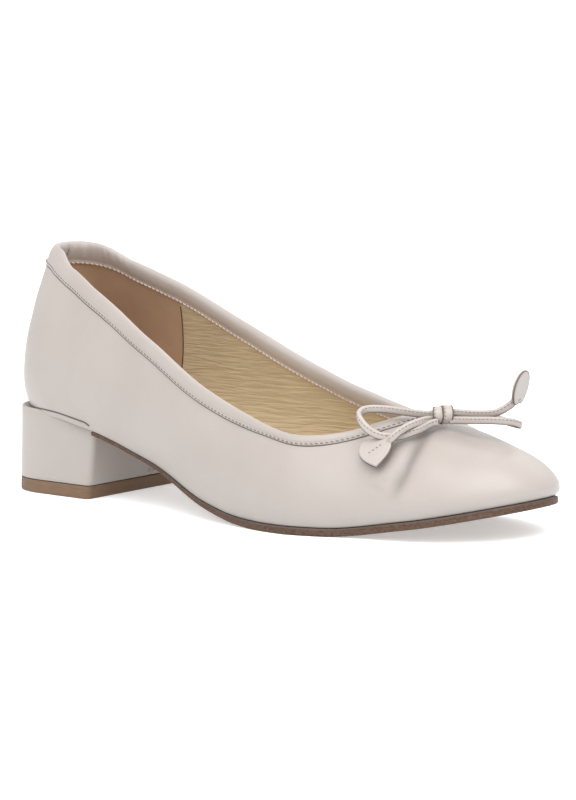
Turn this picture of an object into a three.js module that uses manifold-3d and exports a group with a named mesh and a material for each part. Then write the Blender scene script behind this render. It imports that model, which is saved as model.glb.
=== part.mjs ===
// A low block heel pump with a bow: one right shoe, about EU 38, in pale leather.
// Millimetres. +X points to the toe, +Y to the wearer's left, +Z up from the floor.
// The origin is the middle of the heel's tread, on the floor.
import * as THREE from "three";
import { mergeVertices } from "three/addons/utils/BufferGeometryUtils.js";
import Module from "manifold-3d";

const wasm = await Module();
wasm.setup();

// Sizes of the last
const SHOE_LENGTH = 242; // back of the heel seat to the tip of the toe, at the upper's lower edge
const BALL_WIDTH = 78; // across the ball, at the upper's lower edge
const SEAT_WIDTH = 53; // across the heel seat
const SEAT_HEIGHT = 31; // floor to the upper's lower edge at the back
const TOE_SPRING = 11; // how far the sole lifts off the floor at the tip
const BACK_HEIGHT = 63; // the upper's lower edge to the topline, at the back
const THROAT_DEPTH = 36; // the upper's lower edge to the crest of the vamp, at the throat
const THROAT_X = 189.5; // back of the heel seat to the middle of the throat
const THROAT_ROUND = 39; // length of the round end of the opening
const HEEL_ROUND = 29; // length of the round back of the seat
const TOE_ROUND = 43; // length of the round front of the toe
const TOE_BLUNTNESS = 2.2; // 2 is an ellipse, more is squarer
const SEAT_BLUNTNESS = 2.2;

// Thicknesses
const WALL = 1.8; // leather and lining together
const SOLE_THICKNESS = 3.2;
const WAIST_THICKNESS = 2; // the sole under the arch
const SOLE_MARGIN = 0.7; // how far the sole's edge stands out from the upper
const MARGIN_RUN = 90; // from the heel's breast to where the margin is full
const THIN_RUN = 30; // how far the sole stays thin, from the heel's breast
const THICKENING_RUN = 60; // and from there to its full thickness
const SOLE_EASE = 0.5; // how far its lower edge is drawn in
const INSOLE_THICKNESS = 2.4;
const CLEARANCE = 0.3; // between pieces that meet

// The padded binding that is folded over the topline
const BINDING_WIDTH = 6.4;
const BINDING_SWELL = 0.9; // how far it stands out from the upper on each side

// The heel
const HEEL_LENGTH = 50; // back of the tread to the breast
const HEEL_WIDTH = 57.6; // at the tread
const HEEL_OVERHANG = 3.2; // tread's back, behind the seat
const HEEL_FLARE = 1.2; // how much further out the tread is than the heel's top
const HEEL_BLUNTNESS = 2.7;
const HEEL_CORNER = 2.6; // radius of the breast's upright edges
const HEEL_RIM = 2.2; // how far the heel's rim comes up round the seat
const TOP_PIECE = 5.2; // thickness of the rubber tread piece
const TREAD_BEVEL = 0.5;
const HEEL_FRONT_FALL = 6; // over this length the rim falls off to the breast
const HEEL_FRONT_RIM = 0.25; // what is left of the rim at the breast, as a share
const HEEL_LEAN = 4.5; // how much further forward the breast is at its top than at the tread
const HEEL_ROUND_BACK = 25; // length of the heel's round back

// The bow: a stitched strip tied in a knot in front of the throat
const STRIP_WIDTH = 2.6;
const STRIP_THICKNESS = 1.8;
const KNOT_X = 203.6; // back of the heel seat to the knot
const KNOT_SHIFT = -3; // the knot's place to the wearer's left of the middle
const KNOT_LIFT = 3.35; // the knot's middle above the vamp
const KNOT_LENGTH = 7.4;
const KNOT_WIDTH = 7.4;
const KNOT_HEIGHT = 5;
const LOOP_LENGTH = 30.3;
const OUTER_TURN = 50; // degrees from straight back to the outer half of the bow
const INNER_TURN = 44; // degrees from straight ahead to the inner half
const TAB_LENGTH = 11.8;
const TAB_WIDTH = 12.4;
const TAB_THICKNESS = 1.4;
const OUTER_TAB_BACK = 10.4; // the outer tab's middle behind the knot
const OUTER_TAB_ASIDE = 22.4; // and to the wearer's right of it
const OUTER_TAB_LIFT = 3.1; // and off the vamp
const OUTER_TAB_TURN = 65; // degrees from straight ahead to where its tip points, seen from above
const INNER_TAB_GAP = 2.35; // from the strip's middle to the inner tab's middle
const INNER_TAB_OVERLAP = 1.7; // how far the inner tab's root lies back along the strip

// The plain strip over the back seam
const STRIP_DROP = 18;
const BACK_STRIP_WIDTH = 7;
const BACK_STRIP_THICKNESS = 0.8;

// The bow's strips, as shares of a loop's length from the knot's middle.
// out: along that half of the bow. across: to the left of that direction, seen from above. lift: upwards.
const OUTER_LOOP = [
  { out: 0.135, across: -0.035, lift: 0.005 },
  { out: 0.37, across: -0.08, lift: 0.033 },
  { out: 0.69, across: -0.09, lift: 0.088 },
  { out: 0.91, across: -0.05, lift: 0.092 },
  { out: 0.99, across: 0.06, lift: 0.042 },
  { out: 0.93, across: 0.19, lift: -0.074 },
  { out: 0.815, across: 0.285, lift: -0.157 },
  { out: 0.6, across: 0.32, lift: -0.182 },
  { out: 0.34, across: 0.25, lift: -0.128 },
  { out: 0.135, across: 0.115, lift: -0.067 },
];
const OUTER_END = [
  { out: 0.135, across: 0.04, lift: -0.045 },
  { out: 0.28, across: 0.07, lift: -0.052 },
  { out: 0.46, across: 0.1, lift: -0.095 },
  { out: 0.58, across: 0.12, lift: -0.15 },
  { out: 0.69, across: 0.155, lift: -0.195 },
];
const INNER_LOOP = [
  { out: 0.135, across: 0.075, lift: -0.007 },
  { out: 0.34, across: 0.14, lift: -0.05 },
  { out: 0.6, across: 0.16, lift: -0.077 },
  { out: 0.82, across: 0.1, lift: -0.137 },
  { out: 0.895, across: -0.02, lift: -0.172 },
  { out: 0.8, across: -0.13, lift: -0.162 },
  { out: 0.6, across: -0.17, lift: -0.117 },
  { out: 0.34, across: -0.15, lift: -0.082 },
  { out: 0.135, across: -0.075, lift: -0.067 },
];
const INNER_END = [
  { out: 0.135, across: 0, lift: 0.023 },
  { out: 0.385, across: 0, lift: 0 },
  { out: 0.62, across: -0.02, lift: 0.01 },
  { out: 0.76, across: -0.02, lift: 0.077 },
  { out: 0.84, across: -0.01, lift: 0.143 },
];

// Outline of a tab, from where the strip meets it. along and aside: shares of its length and half its width.
const TAB = [
  { along: 0, aside: 0.62 },
  { along: 0.1, aside: 0.9 },
  { along: 0.35, aside: 1 },
  { along: 0.6, aside: 0.82 },
  { along: 0.84, aside: 0.38 },
  { along: 1, aside: 0 },
];

// Shape of the last along its length. at: share of the shoe's length.
// seat and ball: shares of half the seat's and half the ball's width, added.
// centre: how far the middle line swings to the wearer's left, as a share of the ball's width.
const OUTLINE = [
  { at: 0, seat: 1, ball: 0, centre: 0 },
  { at: 0.12, seat: 1.05, ball: 0, centre: 0 },
  { at: 0.2, seat: 1.13, ball: 0, centre: 0 },
  { at: 0.35, seat: 1.13, ball: 0, centre: -0.012 },
  { at: 0.5, seat: 0.33, ball: 0.69, centre: -0.021 },
  { at: 0.65, seat: 0, ball: 1, centre: -0.022 },
  { at: 0.78, seat: 0, ball: 0.83, centre: 0 },
  { at: 0.9, seat: 0, ball: 0.75, centre: 0.018 },
  { at: 1.0, seat: 0, ball: 0.7, centre: 0.055 },
];

// Height of the upper's lower edge. heel: share of the seat's height. spring: share of the toe spring.
const FEATHER = [
  { at: 0, heel: 1, spring: 0 },
  { at: 0.09, heel: 0.985, spring: 0 },
  { at: 0.2, heel: 0.88, spring: 0 },
  { at: 0.33, heel: 0.59, spring: 0 },
  { at: 0.48, heel: 0.155, spring: 0 },
  { at: 0.56, heel: 0.025, spring: 0 },
  { at: 0.62, heel: 0, spring: 0 },
  { at: 0.72, heel: 0, spring: 0 },
  { at: 0.85, heel: 0, spring: 0.37 },
  { at: 1.0, heel: 0, spring: 1 },
];

// Shape of a section, from the lower edge up and over to the crest.
// crest: height of the crest as a share of the throat's depth. Behind the throat the crest is only the last's.
// lean: how soon the wall turns inwards. swell: how far it first bulges out, as a share of half the ball's width.
const SECTIONS = [
  { at: 0, crest: 2.05, lean: 0.58, swell: 0.105 },
  { at: 0.05, crest: 2.07, lean: 1.25, swell: 0.09 },
  { at: 0.12, crest: 2.1, lean: 1.5, swell: 0.07 },
  { at: 0.25, crest: 2.1, lean: 1.25, swell: 0.08 },
  { at: 0.4, crest: 2.02, lean: 0.83, swell: 0.12 },
  { at: 0.55, crest: 1.73, lean: 0.9, swell: 0.09 },
  { at: 0.68, crest: 1.21, lean: 0.74, swell: 0.05 },
  { at: 0.78, crest: 1.01, lean: 0.85, swell: 0.04 },
  { at: 0.9, crest: 0.665, lean: 0.75, swell: 0.05 },
  { at: 1.0, crest: 0.48, lean: 0.62, swell: 0.05 },
];
const RISE = 0.95; // how the section's height follows its angle
const SWELL_PEAK = 0.25; // where the bulge is fullest, as a share of the section's height

// Height of the topline above the lower edge, as a share of the height at the back.
const TOPLINE = [
  { at: 0, height: 1 },
  { at: 0.04, height: 0.971 },
  { at: 0.09, height: 0.929 },
  { at: 0.12, height: 0.904 },
  { at: 0.2, height: 0.822 },
  { at: 0.25, height: 0.78 },
  { at: 0.33, height: 0.722 },
  { at: 0.4, height: 0.69 },
  { at: 0.48, height: 0.658 },
  { at: 0.55, height: 0.62 },
  { at: 0.62, height: 0.568 },
  { at: 0.68, height: 0.52 },
  { at: 0.8, height: 0.48 },
];
const THROAT_BLUNTNESS = 2.3;

// How finely the solids are cut up
const STRIP_SIDES = 8;
const STRIP_STEPS = 28;
const SEAT_STEPS = 8;
const WAIST_STEPS = 12;
const THROAT_STEPS = 9;
const VAMP_STEPS = 2;
const TOE_STEPS = 11;
const WALL_STEPS = 11;
const WALL_CROWDING = 1.25; // above 1, the steps are closer near the lower edge
const CORNER_STEPS = 4;
const HEEL_STEPS = 9;
const KNOT_SIDES = 16;
const KNOT_RINGS = 10;

const QUARTER = Math.PI / 2;
const ball = BALL_WIDTH / 2;
const backX = HEEL_OVERHANG - HEEL_LENGTH / 2; // the back of the heel seat, from the middle of the tread
const breastX = HEEL_LENGTH / 2;
const heelTopX = breastX + HEEL_LEAN; // the breast, at the heel's top
const seatCentre = HEEL_ROUND; // from here down, x runs from the back of the heel seat
const toeCentre = SHOE_LENGTH - TOE_ROUND;

const mix = (a, b, share) => a + (b - a) * share;
const clamp01 = (value) => Math.min(1, Math.max(0, value));

// Reads a table: a smooth curve through one column, level wherever two rows agree.
function read(table, column, at) {
  const slope = table.slice(1).map((row, i) => (row[column] - table[i][column]) / (row.at - table[i].at));
  const tangent = table.map((row, i) => {
    if (i === 0) return slope[0];
    if (i === table.length - 1) return slope[i - 1];
    const [before, after] = [slope[i - 1], slope[i]];
    return before * after <= 0 ? 0 : (2 * before * after) / (before + after);
  });
  const where = Math.min(Math.max(at, table[0].at), table[table.length - 1].at);
  let i = 0;
  while (i < table.length - 2 && where > table[i + 1].at) i += 1;
  const width = table[i + 1].at - table[i].at;
  const t = (where - table[i].at) / width;
  return (
    (2 * t ** 3 - 3 * t ** 2 + 1) * table[i][column] +
    (t ** 3 - 2 * t ** 2 + t) * width * tangent[i] +
    (3 * t ** 2 - 2 * t ** 3) * table[i + 1][column] +
    (t ** 3 - t ** 2) * width * tangent[i + 1]
  );
}

const halfWidth = (x) =>
  (read(OUTLINE, "seat", x / SHOE_LENGTH) * SEAT_WIDTH) / 2 + read(OUTLINE, "ball", x / SHOE_LENGTH) * ball;
const centreLine = (x) => read(OUTLINE, "centre", x / SHOE_LENGTH) * BALL_WIDTH;
const featherHeight = (x) =>
  SOLE_THICKNESS +
  read(FEATHER, "heel", x / SHOE_LENGTH) * (SEAT_HEIGHT - SOLE_THICKNESS) +
  read(FEATHER, "spring", x / SHOE_LENGTH) * TOE_SPRING;
const crestHeight = (x) => featherHeight(x) + read(SECTIONS, "crest", x / SHOE_LENGTH) * THROAT_DEPTH;

// Distance from the middle of a round end to its outline, at an angle from straight ahead.
function roundReach(length, half, angle, bluntness) {
  const ahead = Math.abs(Math.cos(angle)) / length;
  const aside = Math.abs(Math.sin(angle)) / half;
  return (ahead ** bluntness + aside ** bluntness) ** (-1 / bluntness);
}

// A station is one upright section through the last: the point it turns about, its direction and its reach.
function endStation(centre, length, angle, bluntness) {
  const foot = centre + length * Math.max(0, Math.cos(angle)) ** (2 / bluntness);
  const half = halfWidth(foot) * Math.sin(angle) ** (2 / bluntness);
  const reach = Math.hypot(foot - centre, half);
  return { hub: centre, ahead: (foot - centre) / reach, aside: half / reach, reach, foot };
}
const seatStation = (angle) => endStation(seatCentre, -HEEL_ROUND, angle, SEAT_BLUNTNESS);
const toeStation = (angle) => endStation(toeCentre, TOE_ROUND, angle, TOE_BLUNTNESS);
function bodyStation(x) {
  return { hub: x, ahead: 0, aside: 1, reach: halfWidth(x), foot: x };
}

// A point of the last's surface. side is -1 on the outer side of the foot and 1 on the inner.
// angle runs from 0 at the lower edge to a quarter turn at the crest, and grow is outwards.
function surface(station, side, angle, grow) {
  const share = station.foot / SHOE_LENGTH;
  const lift = Math.max(0, Math.sin(angle)) ** RISE;
  const bump = (lift / SWELL_PEAK) * Math.exp(1 - lift / SWELL_PEAK);
  const swell = read(SECTIONS, "swell", share) * ball * bump;
  const inwards = Math.max(0, Math.cos(angle)) ** read(SECTIONS, "lean", share);
  const reach = (station.reach + grow + swell) * inwards;
  const x = station.hub + station.ahead * reach;
  const base = featherHeight(station.foot);
  const z = base + (crestHeight(x) + grow - base) * lift;
  return new THREE.Vector3(backX + x, side * station.aside * reach + centreLine(x), z);
}

// The angle at which an opening, drawn a given width outside the topline, cuts a section.
function openingAngle(station, outside) {
  const share = station.foot / SHOE_LENGTH;
  const step = 0.01;
  const fall = (read(TOPLINE, "height", share) - read(TOPLINE, "height", share + step)) * BACK_HEIGHT;
  const drop = featherHeight(station.foot) - featherHeight(station.foot + step * SHOE_LENGTH);
  const pitch = Math.atan2(fall + drop, step * SHOE_LENGTH);
  const height = read(TOPLINE, "height", share) * BACK_HEIGHT - outside / Math.cos(pitch);
  const crest = read(SECTIONS, "crest", share) * THROAT_DEPTH;
  const atSide = Math.asin(Math.min(1, (height / crest) ** (1 / RISE)));
  const along = clamp01((station.foot - THROAT_X - outside + THROAT_ROUND) / THROAT_ROUND);
  return QUARTER - (QUARTER - atSide) * (1 - along ** THROAT_BLUNTNESS) ** (1 / THROAT_BLUNTNESS);
}

// Stations from the back of the seat to the middle of a throat that lies a given width outside the topline.
function openingStations(outside) {
  const throat = THROAT_X + outside;
  const bend = throat - THROAT_ROUND;
  const stations = [];
  for (let i = 0; i <= SEAT_STEPS; i += 1) stations.push(seatStation((QUARTER * i) / SEAT_STEPS));
  for (let i = 1; i <= WAIST_STEPS; i += 1) stations.push(bodyStation(mix(seatCentre, bend, i / WAIST_STEPS)));
  for (let i = 1; i <= THROAT_STEPS; i += 1)
    stations.push(bodyStation(bend + THROAT_ROUND * Math.sin((QUARTER * i) / THROAT_STEPS)));
  return stations;
}
function vampStations(from) {
  const stations = [];
  for (let i = 1; i < VAMP_STEPS; i += 1) stations.push(bodyStation(mix(from, toeCentre, i / VAMP_STEPS)));
  for (let i = 0; i <= TOE_STEPS; i += 1) stations.push(toeStation(QUARTER * (1 - i / TOE_STEPS)));
  return stations;
}

// Collects triangles and quads by their corners, and makes one closed geometry of them.
class Skin {
  corners = [];
  triangle(a, b, c) {
    for (const p of [a, b, c]) this.corners.push(p.x, p.y, p.z);
  }
  quad(a, b, c, d) {
    const across = a.distanceToSquared(c) <= b.distanceToSquared(d);
    this.triangle(a, b, across ? c : d);
    this.triangle(across ? a : b, c, d);
  }
  geometry() {
    const loose = new THREE.BufferGeometry();
    loose.setAttribute("position", new THREE.Float32BufferAttribute(this.corners, 3));
    return tidy(loose);
  }
}

// Merges the corners of a geometry and drops the triangles that closed up.
function tidy(geometry) {
  for (const name of ["normal", "uv"]) geometry.deleteAttribute(name);
  const merged = mergeVertices(geometry, 1e-3);
  const index = [];
  for (let i = 0; i < merged.index.count; i += 3) {
    const [a, b, c] = [0, 1, 2].map((k) => merged.index.getX(i + k));
    if (a !== b && b !== c && c !== a) index.push(a, b, c);
  }
  merged.setIndex(index);
  merged.computeVertexNormals();
  return merged;
}

function solidOf(geometry) {
  return new wasm.Manifold(
    new wasm.Mesh({
      numProp: 3,
      vertProperties: Float32Array.from(geometry.attributes.position.array),
      triVerts: Uint32Array.from(geometry.index.array),
    }),
  );
}
function geometryOf(solid) {
  const mesh = solid.getMesh();
  const geometry = new THREE.BufferGeometry();
  geometry.setAttribute("position", new THREE.Float32BufferAttribute(mesh.vertProperties, 3));
  geometry.setIndex(Array.from(mesh.triVerts));
  return tidy(geometry);
}

// Rings of points, one above the other from the lowest up, closed at both ends by strips across them.
// Each ring runs anticlockwise seen from above. blunt rings start with a straight edge, others with a point.
function stack(rings, blunt) {
  const skin = new Skin();
  const count = rings[0].length;
  for (let r = 1; r < rings.length; r += 1)
    for (let i = 0; i < count; i += 1) {
      const j = (i + 1) % count;
      skin.quad(rings[r - 1][i], rings[r - 1][j], rings[r][j], rings[r][i]);
    }
  const cover = (ring, up) => {
    const face = (a, b, c) => (up ? skin.triangle(c, b, a) : skin.triangle(a, b, c));
    let [low, high] = blunt ? [0, count - 1] : [1, count - 1];
    if (!blunt) face(ring[0], ring[high], ring[low]);
    for (; high - low > 2; low += 1, high -= 1) {
      face(ring[low], ring[high], ring[high - 1]);
      face(ring[low], ring[high - 1], ring[low + 1]);
    }
    if (high - low === 2) face(ring[low], ring[high], ring[low + 1]);
  };
  cover(rings[0], false);
  cover(rings[rings.length - 1], true);
  return skin.geometry();
}

// The outer side's stations from back to front, then the inner side's from front to back.
function around(stations, pointed, point) {
  const outer = stations.map((station) => point(station, -1));
  const inner = stations.map((station) => point(station, 1)).reverse();
  return [...outer, ...inner.slice(1, pointed ? -1 : undefined)];
}

// The hollow upper: an outer and an inner face, joined along the lower edge and round the opening.
function upperGeometry() {
  const outside = BINDING_WIDTH + CLEARANCE;
  const opened = openingStations(outside);
  const stations = [...opened, ...vampStations(THROAT_X + outside)];
  const skin = new Skin();
  const column = (station, side, grow, open) => {
    const top = open ? openingAngle(station, outside) : QUARTER;
    const points = [];
    for (let k = 0; k <= WALL_STEPS; k += 1) {
      points.push(surface(station, side, top * (k / WALL_STEPS) ** WALL_CROWDING, grow));
    }
    return points;
  };
  for (const side of [-1, 1]) {
    const face = (a, b, c, d) => (side < 0 ? skin.quad(a, b, c, d) : skin.quad(d, c, b, a));
    const outer = stations.map((station, i) => column(station, side, 0, i < opened.length));
    const inner = stations.map((station, i) => column(station, side, -WALL, i < opened.length));
    for (let i = 1; i < stations.length; i += 1) {
      for (let k = 0; k < WALL_STEPS; k += 1) {
        face(outer[i - 1][k], outer[i][k], outer[i][k + 1], outer[i - 1][k + 1]);
        face(inner[i - 1][k + 1], inner[i][k + 1], inner[i][k], inner[i - 1][k]);
      }
      face(inner[i - 1][0], inner[i][0], outer[i][0], outer[i - 1][0]);
      const last = WALL_STEPS;
      if (i < opened.length) face(outer[i - 1][last], outer[i][last], inner[i][last], inner[i - 1][last]);
    }
  }
  return skin.geometry();
}

// Section of the binding. down: share of its width below the topline. out: from the middle of the wall,
// as a share of half its thickness.
const BINDING_SECTION = [
  { down: 1, out: 0.82 },
  { down: 0.82, out: 0.98 },
  { down: 0.4, out: 1.05 },
  { down: 0.12, out: 0.92 },
  { down: -0.06, out: 0.5 },
  { down: -0.1, out: 0 },
  { down: -0.06, out: -0.5 },
  { down: 0.12, out: -0.92 },
  { down: 0.4, out: -1.05 },
  { down: 0.82, out: -0.98 },
  { down: 1, out: -0.82 },
];

function bindingGeometry() {
  const thickness = WALL + 2 * BINDING_SWELL;
  const top = openingStations(0);
  const foot = openingStations(BINDING_WIDTH);
  const loop = (i, side) =>
    BINDING_SECTION.map(({ down, out }) => {
      const station = { ...top[i] };
      for (const key of Object.keys(station)) station[key] = mix(top[i][key], foot[i][key], down);
      const angle = mix(openingAngle(top[i], 0), openingAngle(foot[i], BINDING_WIDTH), down);
      return surface(station, side, angle, -WALL / 2 + (out * thickness) / 2);
    });
  const skin = new Skin();
  for (const side of [-1, 1]) {
    for (let i = 1; i < top.length; i += 1) {
      const [a, b] = [loop(i - 1, side), loop(i, side)];
      for (let k = 0; k < a.length; k += 1) {
        const next = (k + 1) % a.length;
        if (side < 0) skin.quad(a[k], b[k], b[next], a[next]);
        else skin.quad(a[next], b[next], b[k], a[k]);
      }
    }
  }
  return skin.geometry();
}

const allStations = () => [...openingStations(0), ...vampStations(THROAT_X)];

// The insole lies inside the upper, on its lower edge's level.
function insoleGeometry() {
  const level = (lift) =>
    around(allStations(), true, (station, side) => {
      const point = surface(station, side, 0, -WALL - CLEARANCE);
      return point.setZ(featherHeight(station.foot) + lift);
    });
  return stack([level(0), level(INSOLE_THICKNESS)], false);
}

const soleStart = heelTopX - backX + CLEARANCE; // from the back of the heel seat
function soleThickness(x) {
  return mix(WAIST_THICKNESS, SOLE_THICKNESS, clamp01((x - soleStart - THIN_RUN) / THICKENING_RUN));
}

// The outsole runs from the heel's breast to the toe, and its edge stands out round the forefoot.
function outsoleGeometry() {
  const shortest = 4;
  const stations = [bodyStation(soleStart)];
  for (const station of allStations()) {
    if (station.foot > soleStart + shortest) stations.push(station);
  }
  const level = (depth, inset) =>
    around(stations, false, (station, side) => {
      const x = station.foot;
      const margin = SOLE_MARGIN * clamp01((x - soleStart) / MARGIN_RUN);
      const point = surface(station, side, 0, margin - inset);
      return point.setZ(featherHeight(x) - CLEARANCE - depth * (soleThickness(x) - CLEARANCE));
    });
  return stack([level(1, SOLE_EASE), level(0.75, 0), level(0.15, 0), level(0, SOLE_EASE / 2)], true);
}

// The heel's outline at a height: straight sides, a round back and eased breast corners.
function heelRing(z, inset) {
  const height = clamp01(z / SEAT_HEIGHT);
  const flare = HEEL_FLARE * height + inset;
  const half = HEEL_WIDTH / 2 - flare;
  const back = -HEEL_LENGTH / 2 + flare;
  const front = breastX + HEEL_LEAN * height - inset;
  const corner = HEEL_CORNER - Math.min(inset, HEEL_CORNER / 2);
  const points = [];
  for (let i = 0; i <= CORNER_STEPS; i += 1) {
    const turn = (QUARTER * i) / CORNER_STEPS;
    points.push([front - corner + corner * Math.cos(turn), half - corner + corner * Math.sin(turn)]);
  }
  for (let i = 0; i <= HEEL_STEPS; i += 1) {
    const turn = QUARTER * (1 - i / HEEL_STEPS);
    const reach = roundReach(HEEL_ROUND_BACK, half, turn, HEEL_BLUNTNESS);
    points.push([back + HEEL_ROUND_BACK - reach * Math.cos(turn), reach * Math.sin(turn)]);
  }
  const inner = points.map(([x, y]) => new THREE.Vector3(x, y, z));
  const outer = points.map(([x, y]) => new THREE.Vector3(x, -y, z)).reverse();
  return [...inner, ...outer.slice(1)];
}

function topPieceGeometry() {
  const top = TOP_PIECE - CLEARANCE / 2;
  return stack([heelRing(0, TREAD_BEVEL), heelRing(TREAD_BEVEL, 0), heelRing(top, 0)], true);
}

// The leather-covered heel: its top is hollowed to the seat, with a rim that comes up round the upper.
function heelGeometry() {
  const from = TOP_PIECE + CLEARANCE / 2;
  const rim = heelRing(SEAT_HEIGHT, 0);
  for (const point of rim) {
    const ease = clamp01((heelTopX - point.x) / HEEL_FRONT_FALL);
    const height = HEEL_RIM * mix(HEEL_FRONT_RIM, 1, Math.sin(QUARTER * ease));
    point.setZ(featherHeight(Math.max(0, point.x - backX)) + height);
  }
  const block = solidOf(stack([heelRing(from, 0), heelRing(mix(from, SEAT_HEIGHT, 0.5), 0), rim], true));

  const steps = 2 * SEAT_STEPS;
  const stations = [];
  for (let i = 0; i <= steps; i += 1) stations.push(seatStation((QUARTER * i) / steps));
  for (const share of [1, 2, 3]) stations.push(bodyStation(seatCentre + share * HEEL_ROUND_BACK * 0.48));
  const level = (angle, drop) =>
    around(stations, false, (station, side) => {
      const point = surface(station, side, angle, CLEARANCE);
      if (drop > 0) point.setZ(featherHeight(station.foot) - drop);
      return point;
    });
  const walls = [0.03, 0.06, 0.09, 0.14].map((angle) => level(angle, 0));
  const seat = solidOf(stack([level(0, CLEARANCE), ...walls], false));
  return geometryOf(block.subtract(seat));
}

// The outer face's height over a place on the vamp.
function vampHeight(x, y) {
  const along = Math.min(x - backX, toeCentre);
  const station = bodyStation(along);
  const side = y < centreLine(along) ? -1 : 1;
  const halvings = 30;
  let [low, high] = [0, QUARTER];
  for (let i = 0; i < halvings; i += 1) {
    const angle = (low + high) / 2;
    const point = surface(station, side, angle, 0);
    if (Math.abs(point.y - centreLine(along)) > Math.abs(y - centreLine(along))) low = angle;
    else high = angle;
  }
  return surface(station, side, low, 0).z;
}

const radians = THREE.MathUtils.degToRad;
const knot = new THREE.Vector3(backX + KNOT_X, KNOT_SHIFT, vampHeight(backX + KNOT_X, KNOT_SHIFT) + KNOT_LIFT);
const outerWay = new THREE.Vector3(-Math.cos(radians(OUTER_TURN)), -Math.sin(radians(OUTER_TURN)), 0);
const innerWay = new THREE.Vector3(Math.cos(radians(INNER_TURN)), Math.sin(radians(INNER_TURN)), 0);
const up = new THREE.Vector3(0, 0, 1);

// A place of a strip's table, kept clear of the binding and the vamp.
function bowPoint(way, { out, across, lift }) {
  const left = up.clone().cross(way);
  const point = knot.clone().addScaledVector(way, out * LOOP_LENGTH).addScaledVector(left, across * LOOP_LENGTH);
  const bound = point.x - backX < THROAT_X + BINDING_WIDTH + CLEARANCE ? BINDING_SWELL : 0;
  const rest = vampHeight(point.x, point.y) + bound + CLEARANCE + STRIP_WIDTH / 2;
  return point.setZ(Math.max(point.z + lift * LOOP_LENGTH, rest));
}

// A rounded strip along a table's places.
function stripGeometry(way, table) {
  const curve = new THREE.CatmullRomCurve3(table.map((row) => bowPoint(way, row)), false, "centripetal");
  const rings = [];
  for (let i = 0; i <= STRIP_STEPS; i += 1) {
    const centre = curve.getPoint(i / STRIP_STEPS);
    const along = curve.getTangent(i / STRIP_STEPS);
    const flat = up.clone().cross(along).normalize();
    const thick = along.clone().cross(flat);
    const ring = [];
    for (let k = 0; k < STRIP_SIDES; k += 1) {
      const turn = (2 * Math.PI * (k + 0.5)) / STRIP_SIDES;
      ring.push(
        centre
          .clone()
          .addScaledVector(flat, (Math.cos(turn) * STRIP_THICKNESS) / 2)
          .addScaledVector(thick, (Math.sin(turn) * STRIP_WIDTH) / 2),
      );
    }
    rings.push(ring);
  }
  return stack(rings, true);
}

function knotGeometry() {
  const shape = new THREE.SphereGeometry(0.5, KNOT_SIDES, KNOT_RINGS);
  shape.scale(KNOT_LENGTH, KNOT_WIDTH, KNOT_HEIGHT);
  shape.rotateZ(radians((OUTER_TURN + INNER_TURN) / 2));
  shape.translate(knot.x, knot.y, knot.z);
  return tidy(shape);
}

// A tab: a flat plate that runs on from a strip's end, with one corner to the tip.
function tabGeometry(root, along, facing) {
  const aside = facing.clone().cross(along).normalize();
  const place = (row, side, lift) =>
    root
      .clone()
      .addScaledVector(along, row.along * TAB_LENGTH)
      .addScaledVector(aside, (side * row.aside * TAB_WIDTH) / 2)
      .addScaledVector(facing, lift);
  const ring = (lift) => [
    ...TAB.map((row) => place(row, -1, lift)),
    ...TAB.map((row) => place(row, 1, lift)).reverse().slice(1),
  ];
  return stack([ring(-TAB_THICKNESS / 2), ring(TAB_THICKNESS / 2)], true);
}

// The tab of the outer end lies on the side of the vamp.
function outerTab() {
  const middle = new THREE.Vector3(knot.x - OUTER_TAB_BACK, knot.y - OUTER_TAB_ASIDE, 0);
  const reach = 2;
  const height = (dx, dy) => vampHeight(middle.x + dx, middle.y + dy);
  const ahead = height(-reach, 0) - height(reach, 0);
  const left = height(0, -reach) - height(0, reach);
  const facing = new THREE.Vector3(ahead, left, 2 * reach).normalize();
  const turn = radians(OUTER_TAB_TURN);
  const tip = new THREE.Vector3(Math.cos(turn), -Math.sin(turn), 0);
  const along = tip.addScaledVector(facing, -tip.dot(facing)).normalize();
  middle.setZ(height(0, 0)).addScaledVector(facing, OUTER_TAB_LIFT);
  return tabGeometry(middle.addScaledVector(along, -TAB_LENGTH / 2), along, facing);
}

// The tab of the inner end stands up, turned to one side.
function innerTab() {
  const along = new THREE.Vector3(0.24, 0.05, 0.97).normalize();
  const aside = new THREE.Vector3(-0.29, 0.956, 0);
  const facing = along.clone().cross(aside).normalize();
  const root = bowPoint(innerWay, INNER_END[INNER_END.length - 1]);
  root.addScaledVector(along, -INNER_TAB_OVERLAP).addScaledVector(innerWay, INNER_TAB_GAP);
  return tabGeometry(root, along, facing);
}

// The strip over the back seam, below the binding.
function backStripGeometry() {
  const halfTurn = BACK_STRIP_WIDTH / 2 / HEEL_ROUND;
  const crest = read(SECTIONS, "crest", 0) * THROAT_DEPTH;
  const highest = BACK_HEIGHT - BINDING_WIDTH - 2 * CLEARANCE;
  const angleAt = (height) => Math.asin((height / crest) ** (1 / RISE));
  const rings = [];
  for (const height of [1, 0.75, 0.5, 0.25, 0].map((share) => highest - STRIP_DROP * share)) {
    const ring = [];
    const spot = (turn, grow) => surface(seatStation(Math.abs(turn)), turn < 0 ? -1 : 1, angleAt(height), grow);
    const turns = [-1, -0.5, 0, 0.5, 1].map((share) => share * halfTurn);
    for (const turn of turns) ring.push(spot(turn, CLEARANCE));
    for (const turn of turns.reverse()) ring.push(spot(turn, CLEARANCE + BACK_STRIP_THICKNESS));
    rings.push(ring);
  }
  return stack(rings, true);
}

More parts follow.
